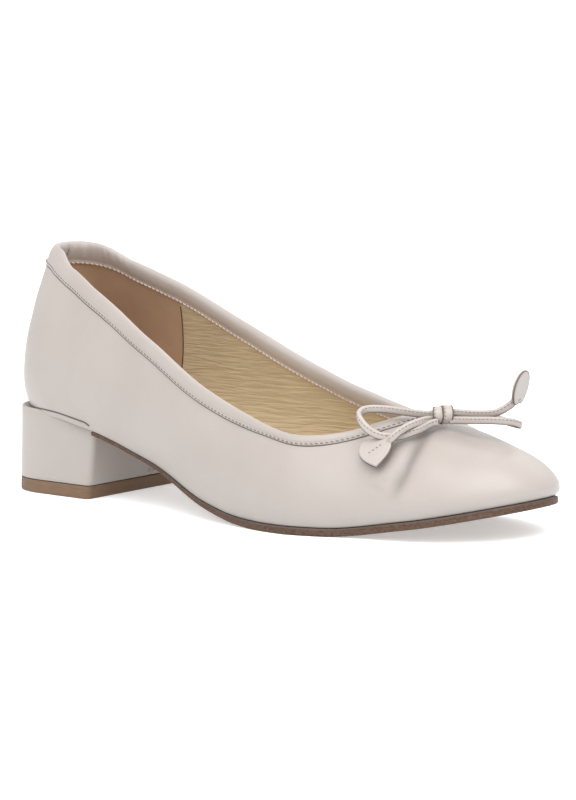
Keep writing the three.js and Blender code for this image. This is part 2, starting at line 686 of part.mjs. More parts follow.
const group = new THREE.Group();
const leather = { color: 0xded3cd, roughness: 0.55, metalness: 0 };
const brown = { color: 0x8a6a50, roughness: 0.6, metalness: 0 };
const dark = { color: 0x3c3330, roughness: 0.6, metalness: 0 };
const lining = { color: 0xc9a77e, roughness: 0.7, metalness: 0 };
function add(name, geometry, look) {
  const mesh = new THREE.Mesh(geometry, new THREE.MeshStandardMaterial(look));
  mesh.name = name;
  group.add(mesh);
}
add("upper", upperGeometry(), leather);
add("topline_binding", bindingGeometry(), leather);
add("insole", insoleGeometry(), lining);
add("outsole", outsoleGeometry(), brown);
add("heel_block", heelGeometry(), leather);
add("top_piece", topPieceGeometry(), brown);
add("back_strip", backStripGeometry(), dark);
add("bow_knot", knotGeometry(), leather);
add("bow_loop_outer", stripGeometry(outerWay, OUTER_LOOP), leather);
add("bow_loop_inner", stripGeometry(innerWay, INNER_LOOP), leather);
add("bow_end_outer", stripGeometry(outerWay, OUTER_END), leather);
add("bow_end_inner", stripGeometry(innerWay, INNER_END), leather);
add("bow_tab_outer", outerTab(), leather);
add("bow_tab_inner", innerTab(), leather);

export default group;
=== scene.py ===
"""A low block heel pump with a bow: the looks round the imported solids. Metres, in the part's frame."""

import math

import bmesh
import bpy
import numpy as np
from mathutils import Matrix, Vector


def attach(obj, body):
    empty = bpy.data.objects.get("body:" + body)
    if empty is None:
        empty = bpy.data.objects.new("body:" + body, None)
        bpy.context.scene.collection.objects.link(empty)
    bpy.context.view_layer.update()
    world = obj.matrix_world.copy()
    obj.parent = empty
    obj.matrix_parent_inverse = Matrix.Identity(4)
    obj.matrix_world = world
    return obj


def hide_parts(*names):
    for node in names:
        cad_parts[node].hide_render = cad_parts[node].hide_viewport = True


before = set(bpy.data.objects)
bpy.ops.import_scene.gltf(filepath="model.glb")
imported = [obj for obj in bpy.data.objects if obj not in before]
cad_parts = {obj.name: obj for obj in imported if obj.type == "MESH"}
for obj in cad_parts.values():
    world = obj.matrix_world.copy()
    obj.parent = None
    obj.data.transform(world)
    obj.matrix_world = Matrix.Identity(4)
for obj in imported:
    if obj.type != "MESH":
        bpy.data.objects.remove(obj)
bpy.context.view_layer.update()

MM = 0.001
UPPER_SLOT = "upper_leather"
QUARTER = math.pi / 2

# Sizes of the last, as in the part
SHOE_LENGTH = 0.242
BALL_WIDTH = 0.078
SEAT_WIDTH = 0.053
SEAT_HEIGHT = 0.031
TOE_SPRING = 0.011
BACK_HEIGHT = 0.063
THROAT_DEPTH = 0.036
THROAT_X = 0.1895
THROAT_ROUND = 0.039
HEEL_ROUND = 0.029
TOE_ROUND = 0.043
TOE_BLUNTNESS = 2.2
SEAT_BLUNTNESS = 2.2
WALL = 0.0018
SOLE_THICKNESS = 0.0032
WAIST_THICKNESS = 0.002
SOLE_MARGIN = 0.0007
MARGIN_RUN = 0.09
THIN_RUN = 0.03
THICKENING_RUN = 0.06
INSOLE_THICKNESS = 0.0024
BINDING_WIDTH = 0.0064
BINDING_SWELL = 0.0009

# The heel. Its rim stays higher at the front than the part's, as the photograph shows it.
HEEL_LENGTH = 0.05
HEEL_WIDTH = 0.0576
HEEL_OVERHANG = 0.0032
HEEL_FLARE = 0.0012
HEEL_BLUNTNESS = 2.7
HEEL_CORNER = 0.0026
HEEL_RIM = 0.0022
HEEL_FRONT_FALL = 0.003
HEEL_FRONT_RIM = 0.6
HEEL_LEAN = 0.0045
HEEL_ROUND_BACK = 0.025
TOP_PIECE = 0.0052

# The bow. The knot is 1.6 mm higher than the part's, to hold two turns of the strip.
STRIP_WIDTH = 0.0026
STRIP_THICKNESS = 0.0018
KNOT_X = 0.2036
KNOT_SHIFT = -0.003
KNOT_LIFT = 0.00335
KNOT_LENGTH = 0.0074
KNOT_WIDTH = 0.0074
KNOT_HEIGHT = 0.0066
LOOP_LENGTH = 0.0303
OUTER_TURN = math.radians(50)
INNER_TURN = math.radians(44)
TAB_LENGTH = 0.0118
TAB_WIDTH = 0.0124
TAB_THICKNESS = 0.0014
OUTER_TAB_BACK = 0.0104
OUTER_TAB_ASIDE = 0.0224
OUTER_TAB_LIFT = 0.0031
OUTER_TAB_TURN = math.radians(65)
INNER_TAB_SHIFT = (0.0019, 0.0008, 0.0006)  # along the inner half of the bow, out of its face, along the tab
INNER_TAB_OVERLAP = 0.0017
TAB_STEP = 0.002  # how far apart the slope of the vamp is read under the outer tab
UNDER_TAB = 0.4  # how much of the strip's section is left between a tab's layers
CLEARANCE = 0.0003

# Stitches
FINE_STITCH = {"pitch": 0.0014, "length": 0.0008, "thick": 0.00026}
HEEL_STITCH = {"pitch": 0.002, "length": 0.0014, "thick": 0.0003}
TAB_STITCH = {"pitch": 0.0013, "length": 0.0008, "thick": 0.0003, "skew": 0.5}

# The strip over the back seam
STRIP_DROP = 0.018
BACK_STRIP_WIDTH = 0.007
BACK_STRIP_THICKNESS = 0.0008

# Where the photograph was taken from: the angle round the shoe, the angle above it, the picture's tilt
CAMERA_TURN = math.radians(43.36)
CAMERA_RISE = math.radians(7.79)
CAMERA_ROLL = math.radians(1.66)
CAMERA_DISTANCE = 1.2
PICTURE_WIDTH = 576
PIXELS_PER_METRE = 2708  # at the camera's target
SENSOR = 0.036
TARGET = Vector((0.1032, 0, 0.04))
TARGET_RIGHT = 0.00085
TARGET_UP = 0.00064

# The seam between the lining and the suede: how far ahead it lies at the height of the floor, and its slope
SEAM_START = 0.0085
SEAM_SLOPE = 0.255

# Creases of the upper: points in millimetres, then width and depth. A negative depth is a swelling. A
# positive depth also paints shade into the leather's colour along the crease.
CREASES = (
    (((179.4, -7, 37.2), (181.1, -14.1, 34.7), (182.7, -20.8, 30.2), (183.1, -26, 24.4), (182.3, -29, 20)),
     2.5, 1.3),
    (((190, -12, 33), (192, -26, 20)), 5.0, -0.3),
    (((172, -31, 19.5), (180, -29.5, 16.5)), 0.9, 0.16),
    (((173, -30, 23), (181, -28.5, 19.5)), 0.8, 0.12),
    (((166, -35, 13), (173, -34.5, 10)), 1.1, 0.12),
    (((181, 10, 37), (185, 20, 30)), 3.4, 0.5),
    (((176, 24, 27), (184, 22, 22)), 1.0, 0.14),
    (((23, -29, 56), (27, -29.5, 60)), 0.8, 0.1),
)

back_x = HEEL_OVERHANG - HEEL_LENGTH / 2
breast_x = HEEL_LENGTH / 2
heel_top_x = breast_x + HEEL_LEAN
toe_centre = SHOE_LENGTH - TOE_ROUND
ball = BALL_WIDTH / 2


def table(columns, *rows):
    """A table of shares: one list per named column."""
    return {name: np.array([row[i] for row in rows], float) for i, name in enumerate(columns.split())}


# Shape of the last along its length, all as shares, as in the part
OUTLINE = table(
    "at seat ball centre",
    (0, 1, 0, 0), (0.12, 1.05, 0, 0), (0.2, 1.13, 0, 0), (0.35, 1.13, 0, -0.012),
    (0.5, 0.33, 0.69, -0.021), (0.65, 0, 1, -0.022), (0.78, 0, 0.83, 0), (0.9, 0, 0.75, 0.018),
    (1, 0, 0.7, 0.055),
)
FEATHER = table(
    "at heel spring",
    (0, 1, 0), (0.09, 0.985, 0), (0.2, 0.88, 0), (0.33, 0.59, 0), (0.48, 0.155, 0),
    (0.56, 0.025, 0), (0.62, 0, 0), (0.72, 0, 0), (0.85, 0, 0.37), (1, 0, 1),
)
SECTIONS = table(
    "at crest lean swell",
    (0, 2.05, 0.58, 0.105), (0.05, 2.07, 1.25, 0.09), (0.12, 2.1, 1.5, 0.07),
    (0.25, 2.1, 1.25, 0.08), (0.4, 2.02, 0.83, 0.12), (0.55, 1.73, 0.9, 0.09),
    (0.68, 1.21, 0.74, 0.05), (0.78, 1.01, 0.85, 0.04), (0.9, 0.665, 0.75, 0.05),
    (1, 0.48, 0.62, 0.05),
)
TOPLINE = table(
    "at height",
    (0, 1), (0.04, 0.971), (0.09, 0.929), (0.12, 0.904), (0.2, 0.822), (0.25, 0.78), (0.33, 0.722),
    (0.4, 0.69), (0.48, 0.658), (0.55, 0.62), (0.62, 0.568), (0.68, 0.52), (0.8, 0.48),
)
RISE = 0.95
SWELL_PEAK = 0.25
THROAT_BLUNTNESS = 2.3


def read(rows, column, at):
    """A smooth curve through one column of a table, level wherever two rows agree."""
    xs, ys = rows["at"], rows[column]
    slope = np.diff(ys) / np.diff(xs)
    tangent = np.zeros(len(xs))
    tangent[0], tangent[-1] = slope[0], slope[-1]
    for i in range(1, len(xs) - 1):
        before, after = slope[i - 1], slope[i]
        tangent[i] = 0 if before * after <= 0 else 2 * before * after / (before + after)
    where = np.clip(np.asarray(at, float), xs[0], xs[-1])
    i = np.clip(np.searchsorted(xs, where, side="right") - 1, 0, len(xs) - 2)
    width = xs[i + 1] - xs[i]
    t = (where - xs[i]) / width
    return (
        (2 * t**3 - 3 * t**2 + 1) * ys[i]
        + (t**3 - 2 * t**2 + t) * width * tangent[i]
        + (3 * t**2 - 2 * t**3) * ys[i + 1]
        + (t**3 - t**2) * width * tangent[i + 1]
    )


def half_width(x):
    share = x / SHOE_LENGTH
    return read(OUTLINE, "seat", share) * SEAT_WIDTH / 2 + read(OUTLINE, "ball", share) * ball


def centre_line(x):
    return read(OUTLINE, "centre", x / SHOE_LENGTH) * BALL_WIDTH


def feather(x):
    share = x / SHOE_LENGTH
    rise = read(FEATHER, "heel", share) * (SEAT_HEIGHT - SOLE_THICKNESS)
    return SOLE_THICKNESS + rise + read(FEATHER, "spring", share) * TOE_SPRING


def crest_height(x):
    return feather(x) + read(SECTIONS, "crest", x / SHOE_LENGTH) * THROAT_DEPTH


def round_reach(length, half, angle, bluntness):
    """Distance from the middle of a round end to its outline, at an angle from straight ahead."""
    ahead = np.abs(np.cos(angle)) / length
    aside = np.abs(np.sin(angle)) / half
    return (ahead**bluntness + aside**bluntness) ** (-1 / bluntness)


def end_station(centre, length, angle, bluntness):
    """Sections that turn about a point of the middle line, round the heel or the toe."""
    angle = np.asarray(angle, float)
    foot = centre + length * np.maximum(0, np.cos(angle)) ** (2 / bluntness)
    half = half_width(foot) * np.sin(angle) ** (2 / bluntness)
    reach = np.hypot(foot - centre, half)
    return {
        "hub": centre + 0 * angle,
        "ahead": (foot - centre) / reach,
        "aside": half / reach,
        "reach": reach,
        "foot": foot,
    }


def seat_station(angle):
    return end_station(HEEL_ROUND, -HEEL_ROUND, angle, SEAT_BLUNTNESS)


def toe_station(angle):
    return end_station(toe_centre, TOE_ROUND, angle, TOE_BLUNTNESS)


def body_station(x):
    x = np.asarray(x, float)
    return {"hub": x, "ahead": 0 * x, "aside": 1 + 0 * x, "reach": half_width(x), "foot": x}


def join(*parts):
    return {key: np.concatenate([np.atleast_1d(part[key]) for part in parts]) for key in parts[0]}


def surface(station, side, angle, grow=0.0):
    """Points of the last's surface, grown outwards. side is -1 on the outer side and 1 on the inner."""
    share = station["foot"] / SHOE_LENGTH
    lift = np.maximum(0, np.sin(angle)) ** RISE
    bump = lift / SWELL_PEAK * np.exp(1 - lift / SWELL_PEAK)
    swell = read(SECTIONS, "swell", share) * ball * bump
    inwards = np.maximum(0, np.cos(angle)) ** read(SECTIONS, "lean", share)
    reach = (station["reach"] + grow + swell) * inwards
    x = station["hub"] + station["ahead"] * reach
    base = feather(station["foot"])
    z = base + (crest_height(x) + grow - base) * lift
    return np.stack([back_x + x, side * station["aside"] * reach + centre_line(x), z], -1)


def opening_angle(station, outside):
    """The angle at which an opening, drawn a given width outside the topline, cuts a section."""
    foot, step = station["foot"], SHOE_LENGTH / 100
    share = foot / SHOE_LENGTH
    topline, ahead = (read(TOPLINE, "height", at / SHOE_LENGTH) * BACK_HEIGHT for at in (foot, foot + step))
    drop = feather(foot) - feather(foot + step)
    pitch = np.arctan2(topline - ahead + drop, step)
    height = topline - outside / np.cos(pitch)
    crest = read(SECTIONS, "crest", share) * THROAT_DEPTH
    at_side = np.arcsin(np.minimum(1, (height / crest) ** (1 / RISE)))
    along = np.clip((foot - THROAT_X - outside + THROAT_ROUND) / THROAT_ROUND, 0, 1)
    return QUARTER - (QUARTER - at_side) * (1 - along**THROAT_BLUNTNESS) ** (1 / THROAT_BLUNTNESS)


SEAT_STEPS = 28
WAIST_STEPS = 70
THROAT_STEPS = 36
TOE_STEPS = 44


def opening_stations(outside):
    throat = THROAT_X + outside
    bend = throat - THROAT_ROUND
    return join(
        seat_station(np.linspace(0, QUARTER, SEAT_STEPS + 1)),
        body_station(np.linspace(HEEL_ROUND, bend, WAIST_STEPS + 1)[1:]),
        body_station(bend + THROAT_ROUND * np.sin(np.linspace(0, QUARTER, THROAT_STEPS + 1)[1:])),
    )


def vamp_stations(start):
    return join(
        body_station(np.linspace(start, toe_centre, 5)[1:-1]),
        toe_station(np.linspace(QUARTER, 0, TOE_STEPS + 1)),
    )


def both_sides(make):
    """Joins what make gives for the outer side, from back to front, and for the inner side, back again."""
    return np.concatenate([make(-1), make(1)[::-1][1:]])


# Making meshes


def add_object(name, data):
    made = bpy.data.objects.new(name, data)
    bpy.context.scene.collection.objects.link(made)
    return made


def new_object(name, points, faces, materials, face_materials=None, smooth=True, weld=1e-6, painted_shading=None):
    """A mesh object, welded, with its faces pointing out. The last argument gives how much shade is painted
    on each point; below zero it paints light.
    """
    mesh = bpy.data.meshes.new(name)
    mesh.from_pydata([tuple(map(float, p)) for p in points], [], faces)
    for material in materials:
        mesh.materials.append(material)
    if face_materials is not None:
        mesh.polygons.foreach_set("material_index", face_materials)
    if painted_shading is not None:
        mesh.attributes.new("painted_shade", "FLOAT", "POINT").data.foreach_set("value", np.asarray(painted_shading, np.float32))
    work = bmesh.new()
    work.from_mesh(mesh)
    bmesh.ops.remove_doubles(work, verts=work.verts, dist=weld)
    bmesh.ops.dissolve_degenerate(work, dist=weld / 10, edges=work.edges)
    bmesh.ops.recalc_face_normals(work, faces=work.faces)
    work.to_mesh(mesh)
    work.free()
    if smooth:
        mesh.polygons.foreach_set("use_smooth", [True] * len(mesh.polygons))
    return add_object(name, mesh)


def grid_faces(rows, columns, closed=False, start=0):
    """Quads of a grid of points, rows by columns, closed across its columns if asked."""
    faces = []
    last = columns if closed else columns - 1
    for r in range(rows - 1):
        for c in range(last):
            n = (c + 1) % columns
            corners = (r * columns + c, r * columns + n, (r + 1) * columns + n, (r + 1) * columns + c)
            faces.append([start + k for k in corners])
    return faces


def finish_piece(made, slot_name, *nodes):
    """Fixes a piece to the shoe and hides the solids it stands for. slot_name is not used."""
    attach(made, "root")
    if nodes:
        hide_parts(*nodes)
    return made


def stack_piece(name, rings, looks, slot_name, *nodes, ring_looks=None, shift=0):
    """A piece of closed rings, with strips across the first and the last. shift turns those strips."""
    rings = np.asarray(rings)
    rows, columns = rings.shape[:2]
    faces = grid_faces(rows, columns, closed=True)
    slots = []
    for r in range(rows - 1):
        slots += [ring_looks[r] if ring_looks else 0] * columns
    for start, look in ((0, slots[0]), ((rows - 1) * columns, slots[-1])):
        for i in range((columns + shift) // 2):
            corners = (i, i + 1, (columns - shift - i - 1) % columns, (columns - shift - i) % columns)
            kept = list(dict.fromkeys(start + c % columns for c in corners))
            if len(kept) > 2:
                faces.append(kept)
                slots.append(look)
    return finish_piece(new_object(name, rings.reshape(-1, 3), faces, looks, slots), slot_name, *nodes)


def tube_rings(points, sideways, section):
    """Rings of a flat section, given as (across, up) pairs, along a line of points."""
    _, flat, thick = strip_ways(points, sideways)
    section = np.broadcast_to(section, (len(points), *np.shape(section)[-2:]))
    return points[:, None] + flat[:, None] * section[:, :, :1] + thick[:, None] * section[:, :, 1:]


def thin_line(name, line, sideways, width, thickness, look, slot_name=UPPER_SLOT):
    """A fine raised line, such as an edge or a seam."""
    rings = tube_rings(line, sideways, strip_section(width, thickness, 10))
    return stack_piece(name, rings, [look], slot_name)


def full_turn(steps):
    return np.linspace(0, 2 * math.pi, steps, endpoint=False)


def unit(vectors):
    vectors = np.asarray(vectors)
    return vectors / np.linalg.norm(vectors, axis=-1, keepdims=True)


def strip_ways(points, sideways):
    """The way along a line, the way across it and the third way, at each of its points."""
    along = unit(np.gradient(points, axis=0))
    flat = unit(np.cross(sideways, along))
    return along, flat, np.cross(along, flat)


def run_of(line):
    """How far along a line each of its points is."""
    return np.concatenate([[0], np.cumsum(np.linalg.norm(np.diff(line, axis=0), axis=1))])


def spaced(line, outwards, pitch):
    """Places at equal steps along a line, with the way along it and the way out of its surface."""
    run = run_of(line)
    count = max(1, int(run[-1] / pitch))
    at = (np.arange(count) + 0.5) * run[-1] / count

    def pick(values):
        return np.stack([np.interp(at, run, values[:, k]) for k in range(3)], -1)

    return pick(line), unit(pick(np.gradient(line, axis=0))), unit(pick(outwards))


def stitches(name, line, outwards, look, pitch, length, thick, skew=0.0):
    """Short raised stitches along a line on a surface, each a rounded bar that dips in at its ends."""
    places, along, out = spaced(np.asarray(line), np.asarray(outwards), pitch)
    along = unit(along + unit(np.cross(along, out)) * skew)
    side = unit(np.cross(along, out))
    sides = 6
    shares = (-0.5, -0.38, -0.15, 0.15, 0.38, 0.5)
    points, faces = [], []
    for place, way, up, across in zip(places, along, out, side):
        start = len(points)
        for share in shares:
            round_off = math.sqrt(max(0.04, 1 - (2 * share) ** 4))
            centre = place + way * share * length + up * thick * (0.35 * round_off - 0.15)
            for angle in full_turn(sides):
                ring = across * math.cos(angle) + up * math.sin(angle)
                points.append(centre + ring * thick / 2 * round_off)
        faces += grid_faces(len(shares), sides, closed=True, start=start)
        for end in (start, start + (len(shares) - 1) * sides):
            faces.append([end + k for k in range(sides)])
    return finish_piece(new_object(name, points, faces, [look], weld=1e-8), UPPER_SLOT)


# Node trees


def fill(tree, made, inputs):
    """Sets a node's sockets, by name or number, each to a value or to an output to link."""
    for key, value in inputs.items():
        socket = made.inputs[key]
        if isinstance(value, bpy.types.NodeSocket):
            tree.links.new(value, socket)
        else:
            socket.default_value = value


def node(tree, kind, inputs=None, **settings):
    made = tree.nodes.new(kind)
    for key, value in settings.items():
        setattr(made, key, value)
    fill(tree, made, inputs or {})
    return made


def group(name, inputs, outputs):
    """An empty node group with named float or vector sockets, and its two end nodes."""
    tree = bpy.data.node_groups.new(name, "ShaderNodeTree")
    kinds = {"f": "NodeSocketFloat", "v": "NodeSocketVector"}
    for in_out, sockets in (("INPUT", inputs), ("OUTPUT", outputs)):
        for key, kind in sockets.items():
            tree.interface.new_socket(key, in_out=in_out, socket_type=kinds[kind])
    return tree, tree.nodes.new("NodeGroupInput"), tree.nodes.new("NodeGroupOutput")


def maths(tree, operation, a, b=None, c=None):
    values = {i: v for i, v in enumerate((a, b, c)) if v is not None}
    return node(tree, "ShaderNodeMath", values, operation=operation).outputs[0]


def vector_maths(tree, operation, a, b):
    """Adds or multiplies two vectors, or scales one by a number."""
    second = 3 if operation == "SCALE" else 1
    return node(tree, "ShaderNodeVectorMath", {0: a, second: b}, operation=operation).outputs[0]


def noise(tree, place, scale, detail, **more):
    inputs = {"Vector": place, "Scale": scale, "Detail": detail, **more}
    return node(tree, "ShaderNodeTexNoise", inputs).outputs


def mix_colours(tree, share, first, second):
    return node(tree, "ShaderNodeMix", {0: share, 6: first, 7: second}, data_type="RGBA").outputs[2]


def grade(tree, value, low, high):
    """Maps a value from low..high to 0..1, smoothly."""
    made = node(tree, "ShaderNodeMapRange", {0: value, 1: low, 2: high}, interpolation_type="SMOOTHSTEP")
    return made.outputs[0]


def make_grain_group():
    """Leather grain: small cells with soft pits between them. Gives a height and a shade."""
    tree, start, end = group("grain", {"Place": "v", "Cells": "f"}, {"Height": "f", "Shade": "f"})
    place, cells = start.outputs["Place"], start.outputs["Cells"]
    warp = noise(tree, place, 900.0, 2.0)["Color"]
    moved = vector_maths(tree, "ADD", place, vector_maths(tree, "SCALE", warp, 0.0006))
    cell = node(tree, "ShaderNodeTexVoronoi", {"Vector": moved, "Scale": cells}, feature="DISTANCE_TO_EDGE")
    pits = grade(tree, cell.outputs["Distance"], 0.0, 0.35)
    fine = noise(tree, place, maths(tree, "MULTIPLY", cells, 2.3), 3.0)["Fac"]
    fill(tree, end, {"Height": maths(tree, "MULTIPLY_ADD", fine, 0.5, pits), "Shade": pits})
    return tree


def make_drift_group():
    """Slow, cloudy change over a surface, from 0 to 1."""
    tree, start, end = group("drift", {"Place": "v", "Size": "f"}, {"Value": "f"})
    scale = maths(tree, "DIVIDE", 1.0, start.outputs["Size"])
    cloud = noise(tree, start.outputs["Place"], scale, 4.0)["Fac"]
    fill(tree, end, {"Value": grade(tree, cloud, 0.3, 0.7)})
    return tree


def make_streak_group():
    """Streaks drawn out along one way: Stretch holds how often they repeat along each axis."""
    tree, start, end = group("streaks", {"Place": "v", "Stretch": "v"}, {"Value": "f"})
    drawn = vector_maths(tree, "MULTIPLY", start.outputs["Place"], start.outputs["Stretch"])
    lines = noise(tree, drawn, 1.0, 3.0, Distortion=0.4)["Fac"]
    fill(tree, end, {"Value": grade(tree, lines, 0.35, 0.65)})
    return tree


GRAIN_CELLS = 1400.0
# How strongly a point's painted value darkens the leather as painted shade; a value below zero paints light
FOLD_SHADE = 0.27
MATTE = {"roughness": 0.6, "coat": 0.0}
GRAIN = make_grain_group()
DRIFT = make_drift_group()
STREAKS = make_streak_group()


def use(tree, which, **inputs):
    return node(tree, "ShaderNodeGroup", inputs, node_tree=which).outputs


def material(name):
    """A material with its tree, its shader and the place on the object, in metres."""
    made = bpy.data.materials.new(name)
    made.use_nodes = True
    tree = made.node_tree
    shader = tree.nodes["Principled BSDF"]
    place = node(tree, "ShaderNodeTexCoord").outputs["Object"]
    return made, tree, shader, place


def bump(tree, shader, height, strength, distance):
    made = node(tree, "ShaderNodeBump", {"Strength": strength, "Distance": distance, "Height": height})
    fill(tree, shader, {"Normal": made.outputs[0]})


def leather(name, light, dark, roughness=0.42, coat=0.12):
    """Smooth leather: two close colours that drift, fine grain, a thin finish, and shade painted from a point
    value; a value below zero paints light.
    """
    made, tree, shader, place = material(name)
    drift = use(tree, DRIFT, Place=place, Size=0.03)["Value"]
    grain = use(tree, GRAIN, Place=place, Cells=GRAIN_CELLS)
    # Painted shade: the point value darkens the colour; below zero it paints light
    painted_shade = node(tree, "ShaderNodeAttribute", attribute_name="painted_shade").outputs["Fac"]
    shade = maths(tree, "MULTIPLY_ADD", grain["Shade"], 0.03, 0.97)
    shade = maths(tree, "MULTIPLY", shade, maths(tree, "MULTIPLY_ADD", painted_shade, -FOLD_SHADE, 1.0))
    colour = vector_maths(tree, "SCALE", mix_colours(tree, drift, light, dark), shade)
    rough = maths(tree, "MULTIPLY_ADD", drift, 0.06, roughness)
    fill(tree, shader, {"Base Color": colour, "Roughness": rough, "Coat Weight": coat, "Coat Roughness": 0.3})
    bump(tree, shader, grain["Height"], 0.06, 0.0002)
    return made


BLUSH = leather("blush_leather", (0.327, 0.289, 0.264, 1), (0.311, 0.273, 0.249, 1))
KNOT_LEATHER = leather("bow_leather", (0.367, 0.324, 0.297, 1), (0.323, 0.284, 0.259, 1), roughness=0.46)
STITCH = leather("thread", (0.17, 0.132, 0.112, 1), (0.14, 0.108, 0.09, 1), **MATTE)
PALE_STITCH = leather("pale_thread", (0.66, 0.51, 0.45, 1), (0.6, 0.46, 0.4, 1), **MATTE)
CUT_EDGE = leather("cut_edge", (0.135, 0.092, 0.074, 1), (0.105, 0.07, 0.056, 1), **MATTE)
# Dark brown for seams, and painted shade: in the knot, in the sole's groove, under the binding's edge and
# where the heel meets the upper
SHADE = leather("dark_seams_and_painted_shade", (0.10, 0.075, 0.065, 1), (0.08, 0.06, 0.05, 1), roughness=0.7, coat=0.0)


def inside_material():
    """The inside: tan lining with fine wrinkles, and rosier suede behind the seam, round the heel."""
    made, tree, shader, place = material("inside_leather")
    lines = use(tree, STREAKS, Place=place, Stretch=(70.0, 70.0, 800.0))["Value"]
    drift = use(tree, DRIFT, Place=place, Size=0.02)["Value"]
    tan = mix_colours(tree, drift, (0.53, 0.425, 0.275, 1), (0.485, 0.38, 0.24, 1))
    tan = mix_colours(tree, maths(tree, "MULTIPLY", lines, 0.3), tan, (0.34, 0.255, 0.15, 1))
    nap = noise(tree, place, 1600.0, 6.0)["Fac"]
    suede = mix_colours(tree, drift, (0.395, 0.25, 0.155, 1), (0.34, 0.212, 0.13, 1))
    parts = node(tree, "ShaderNodeSeparateXYZ", {0: place})
    seam = maths(tree, "MULTIPLY_ADD", parts.outputs["Z"], SEAM_SLOPE, SEAM_START)
    behind = grade(tree, maths(tree, "SUBTRACT", parts.outputs["X"], seam), 0.0001, -0.0001)
    fill(tree, shader, {
        "Base Color": mix_colours(tree, behind, tan, suede),
        "Roughness": maths(tree, "MULTIPLY_ADD", behind, 0.3, 0.6),
        "Sheen Weight": 0.2,
        "Sheen Roughness": 0.5,
    })
    wrinkles = maths(tree, "MULTIPLY", lines, maths(tree, "SUBTRACT", 1.0, behind))
    height = maths(tree, "MULTIPLY_ADD", maths(tree, "MULTIPLY", nap, behind), 0.5, wrinkles)
    bump(tree, shader, height, 0.4, 0.0006)
    return made


def brown_material(name, light, dark, stretch):
    """Brown sole leather or rubber, with streaks along its edge."""
    made, tree, shader, place = material(name)
    lines = use(tree, STREAKS, Place=place, Stretch=stretch)["Value"]
    colour = mix_colours(tree, lines, light, dark)
    fill(tree, shader, {"Base Color": colour, "Roughness": 0.6, "Specular IOR Level": 0.25})
    bump(tree, shader, lines, 0.2, 0.0004)
    return made


INSIDE = inside_material()
SOLE_EDGE = brown_material("sole_edge", (0.1, 0.056, 0.035, 1), (0.05, 0.028, 0.018, 1), (900, 900, 2600))
SOLE_BASE = brown_material("sole_base", (0.27, 0.185, 0.12, 1), (0.22, 0.15, 0.095, 1), (60.0, 60.0, 60.0))
RUBBER = brown_material("brown_rubber", (0.155, 0.096, 0.058, 1), (0.133, 0.082, 0.049, 1), (200, 200, 3000))
DARK = leather("dark_trim", (0.05, 0.04, 0.036, 1), (0.04, 0.033, 0.03, 1), **MATTE)

# The camera


def make_camera():
    """The camera stands where the photograph was taken from."""
    turn, rise, roll = CAMERA_TURN, CAMERA_RISE, CAMERA_ROLL
    back = Vector((math.sin(turn) * math.cos(rise), -math.cos(turn) * math.cos(rise), math.sin(rise)))
    right = Vector((math.cos(turn), math.sin(turn), 0))
    up = back.cross(right)
    place = TARGET + right * TARGET_RIGHT + up * TARGET_UP + back * CAMERA_DISTANCE
    across = right * math.cos(roll) - up * math.sin(roll)
    upwards = up * math.cos(roll) + right * math.sin(roll)
    data = bpy.data.cameras.new("camera")
    data.sensor_fit = "HORIZONTAL"
    data.sensor_width = SENSOR / MM
    data.lens = PIXELS_PER_METRE * CAMERA_DISTANCE / PICTURE_WIDTH * SENSOR / MM
    data.clip_start, data.clip_end = 0.05, 20
    made = add_object("camera", data)
    made.matrix_world = Matrix.Translation(place) @ Matrix((across, upwards, back)).transposed().to_4x4()
    bpy.context.scene.camera = made


make_camera()

# The bow's strips: how far out along the bow's half, to the left and up, as shares of the loop's length.
# The outer end passes over its loop just before the tab, unlike the part's.
OUTER_LOOP = [
    (0.135, -0.035, 0.005), (0.37, -0.08, 0.033), (0.69, -0.09, 0.088), (0.91, -0.05, 0.092),
    (0.99, 0.06, 0.042), (0.927, 0.167, -0.078), (0.804, 0.21, -0.168), (0.585, 0.226, -0.196),
    (0.337, 0.225, -0.135), (0.135, 0.115, -0.072),
]
OUTER_END = [
    (0.139, 0.05, -0.04), (0.3, 0.195, -0.04), (0.461, 0.275, -0.08), (0.576, 0.303, -0.141),
    (0.657, 0.304, -0.211),
]
INNER_LOOP = [
    (0.135, 0.075, -0.007), (0.34, 0.14, -0.05), (0.6, 0.16, -0.077), (0.82, 0.1, -0.137),
    (0.895, -0.02, -0.172), (0.8, -0.13, -0.162), (0.6, -0.17, -0.117), (0.34, -0.15, -0.082),
    (0.135, -0.075, -0.067),
]
INNER_END = [
    (0.135, 0, 0.023), (0.385, 0, 0), (0.62, -0.02, 0.01), (0.76, -0.02, 0.077),
    (0.84, -0.01, 0.143),
]
# The tabs: along each, and half its width there. Layers: height in halves of the thickness, and the inset.
TAB = [(0, 0.62), (0.1, 0.9), (0.35, 1), (0.6, 0.82), (0.84, 0.38), (1, 0)]
ROUND_TAB = [(0, 0.5), (0.12, 0.78), (0.38, 1), (0.65, 0.97), (0.86, 0.68), (0.97, 0.3), (1, 0)]
TAB_LAYERS = [(-1, 0.3), (-1, 0.06), (-0.6, 0), (-0.12, 0), (-0.05, 0.03), (0.05, 0.03), (0.12, 0), (0.6, 0)]
TAB_LAYERS += [(1, 0.06), (1.02, 0.16), (0.9, 0.22), (1.05, 0.3)]
TAB_LAYERS += [(1.1, inset) for inset in (0.42, 0.55, 0.7, 0.85, 0.96)]
# Where the strip lies between a tab's layers: along it, and aside in halves of its width
UNDER_OUTER_TAB = ((0.3, 0.5), (0.5, 0.2), (0.7, 0.0))
UNDER_INNER_TAB = ((0.5, 0.0), (0.78, 0.0))
UP = np.array([0.0, 0.0, 1.0])
outer_way = np.array([-math.cos(OUTER_TURN), -math.sin(OUTER_TURN), 0.0])
inner_way = np.array([math.cos(INNER_TURN), math.sin(INNER_TURN), 0.0])


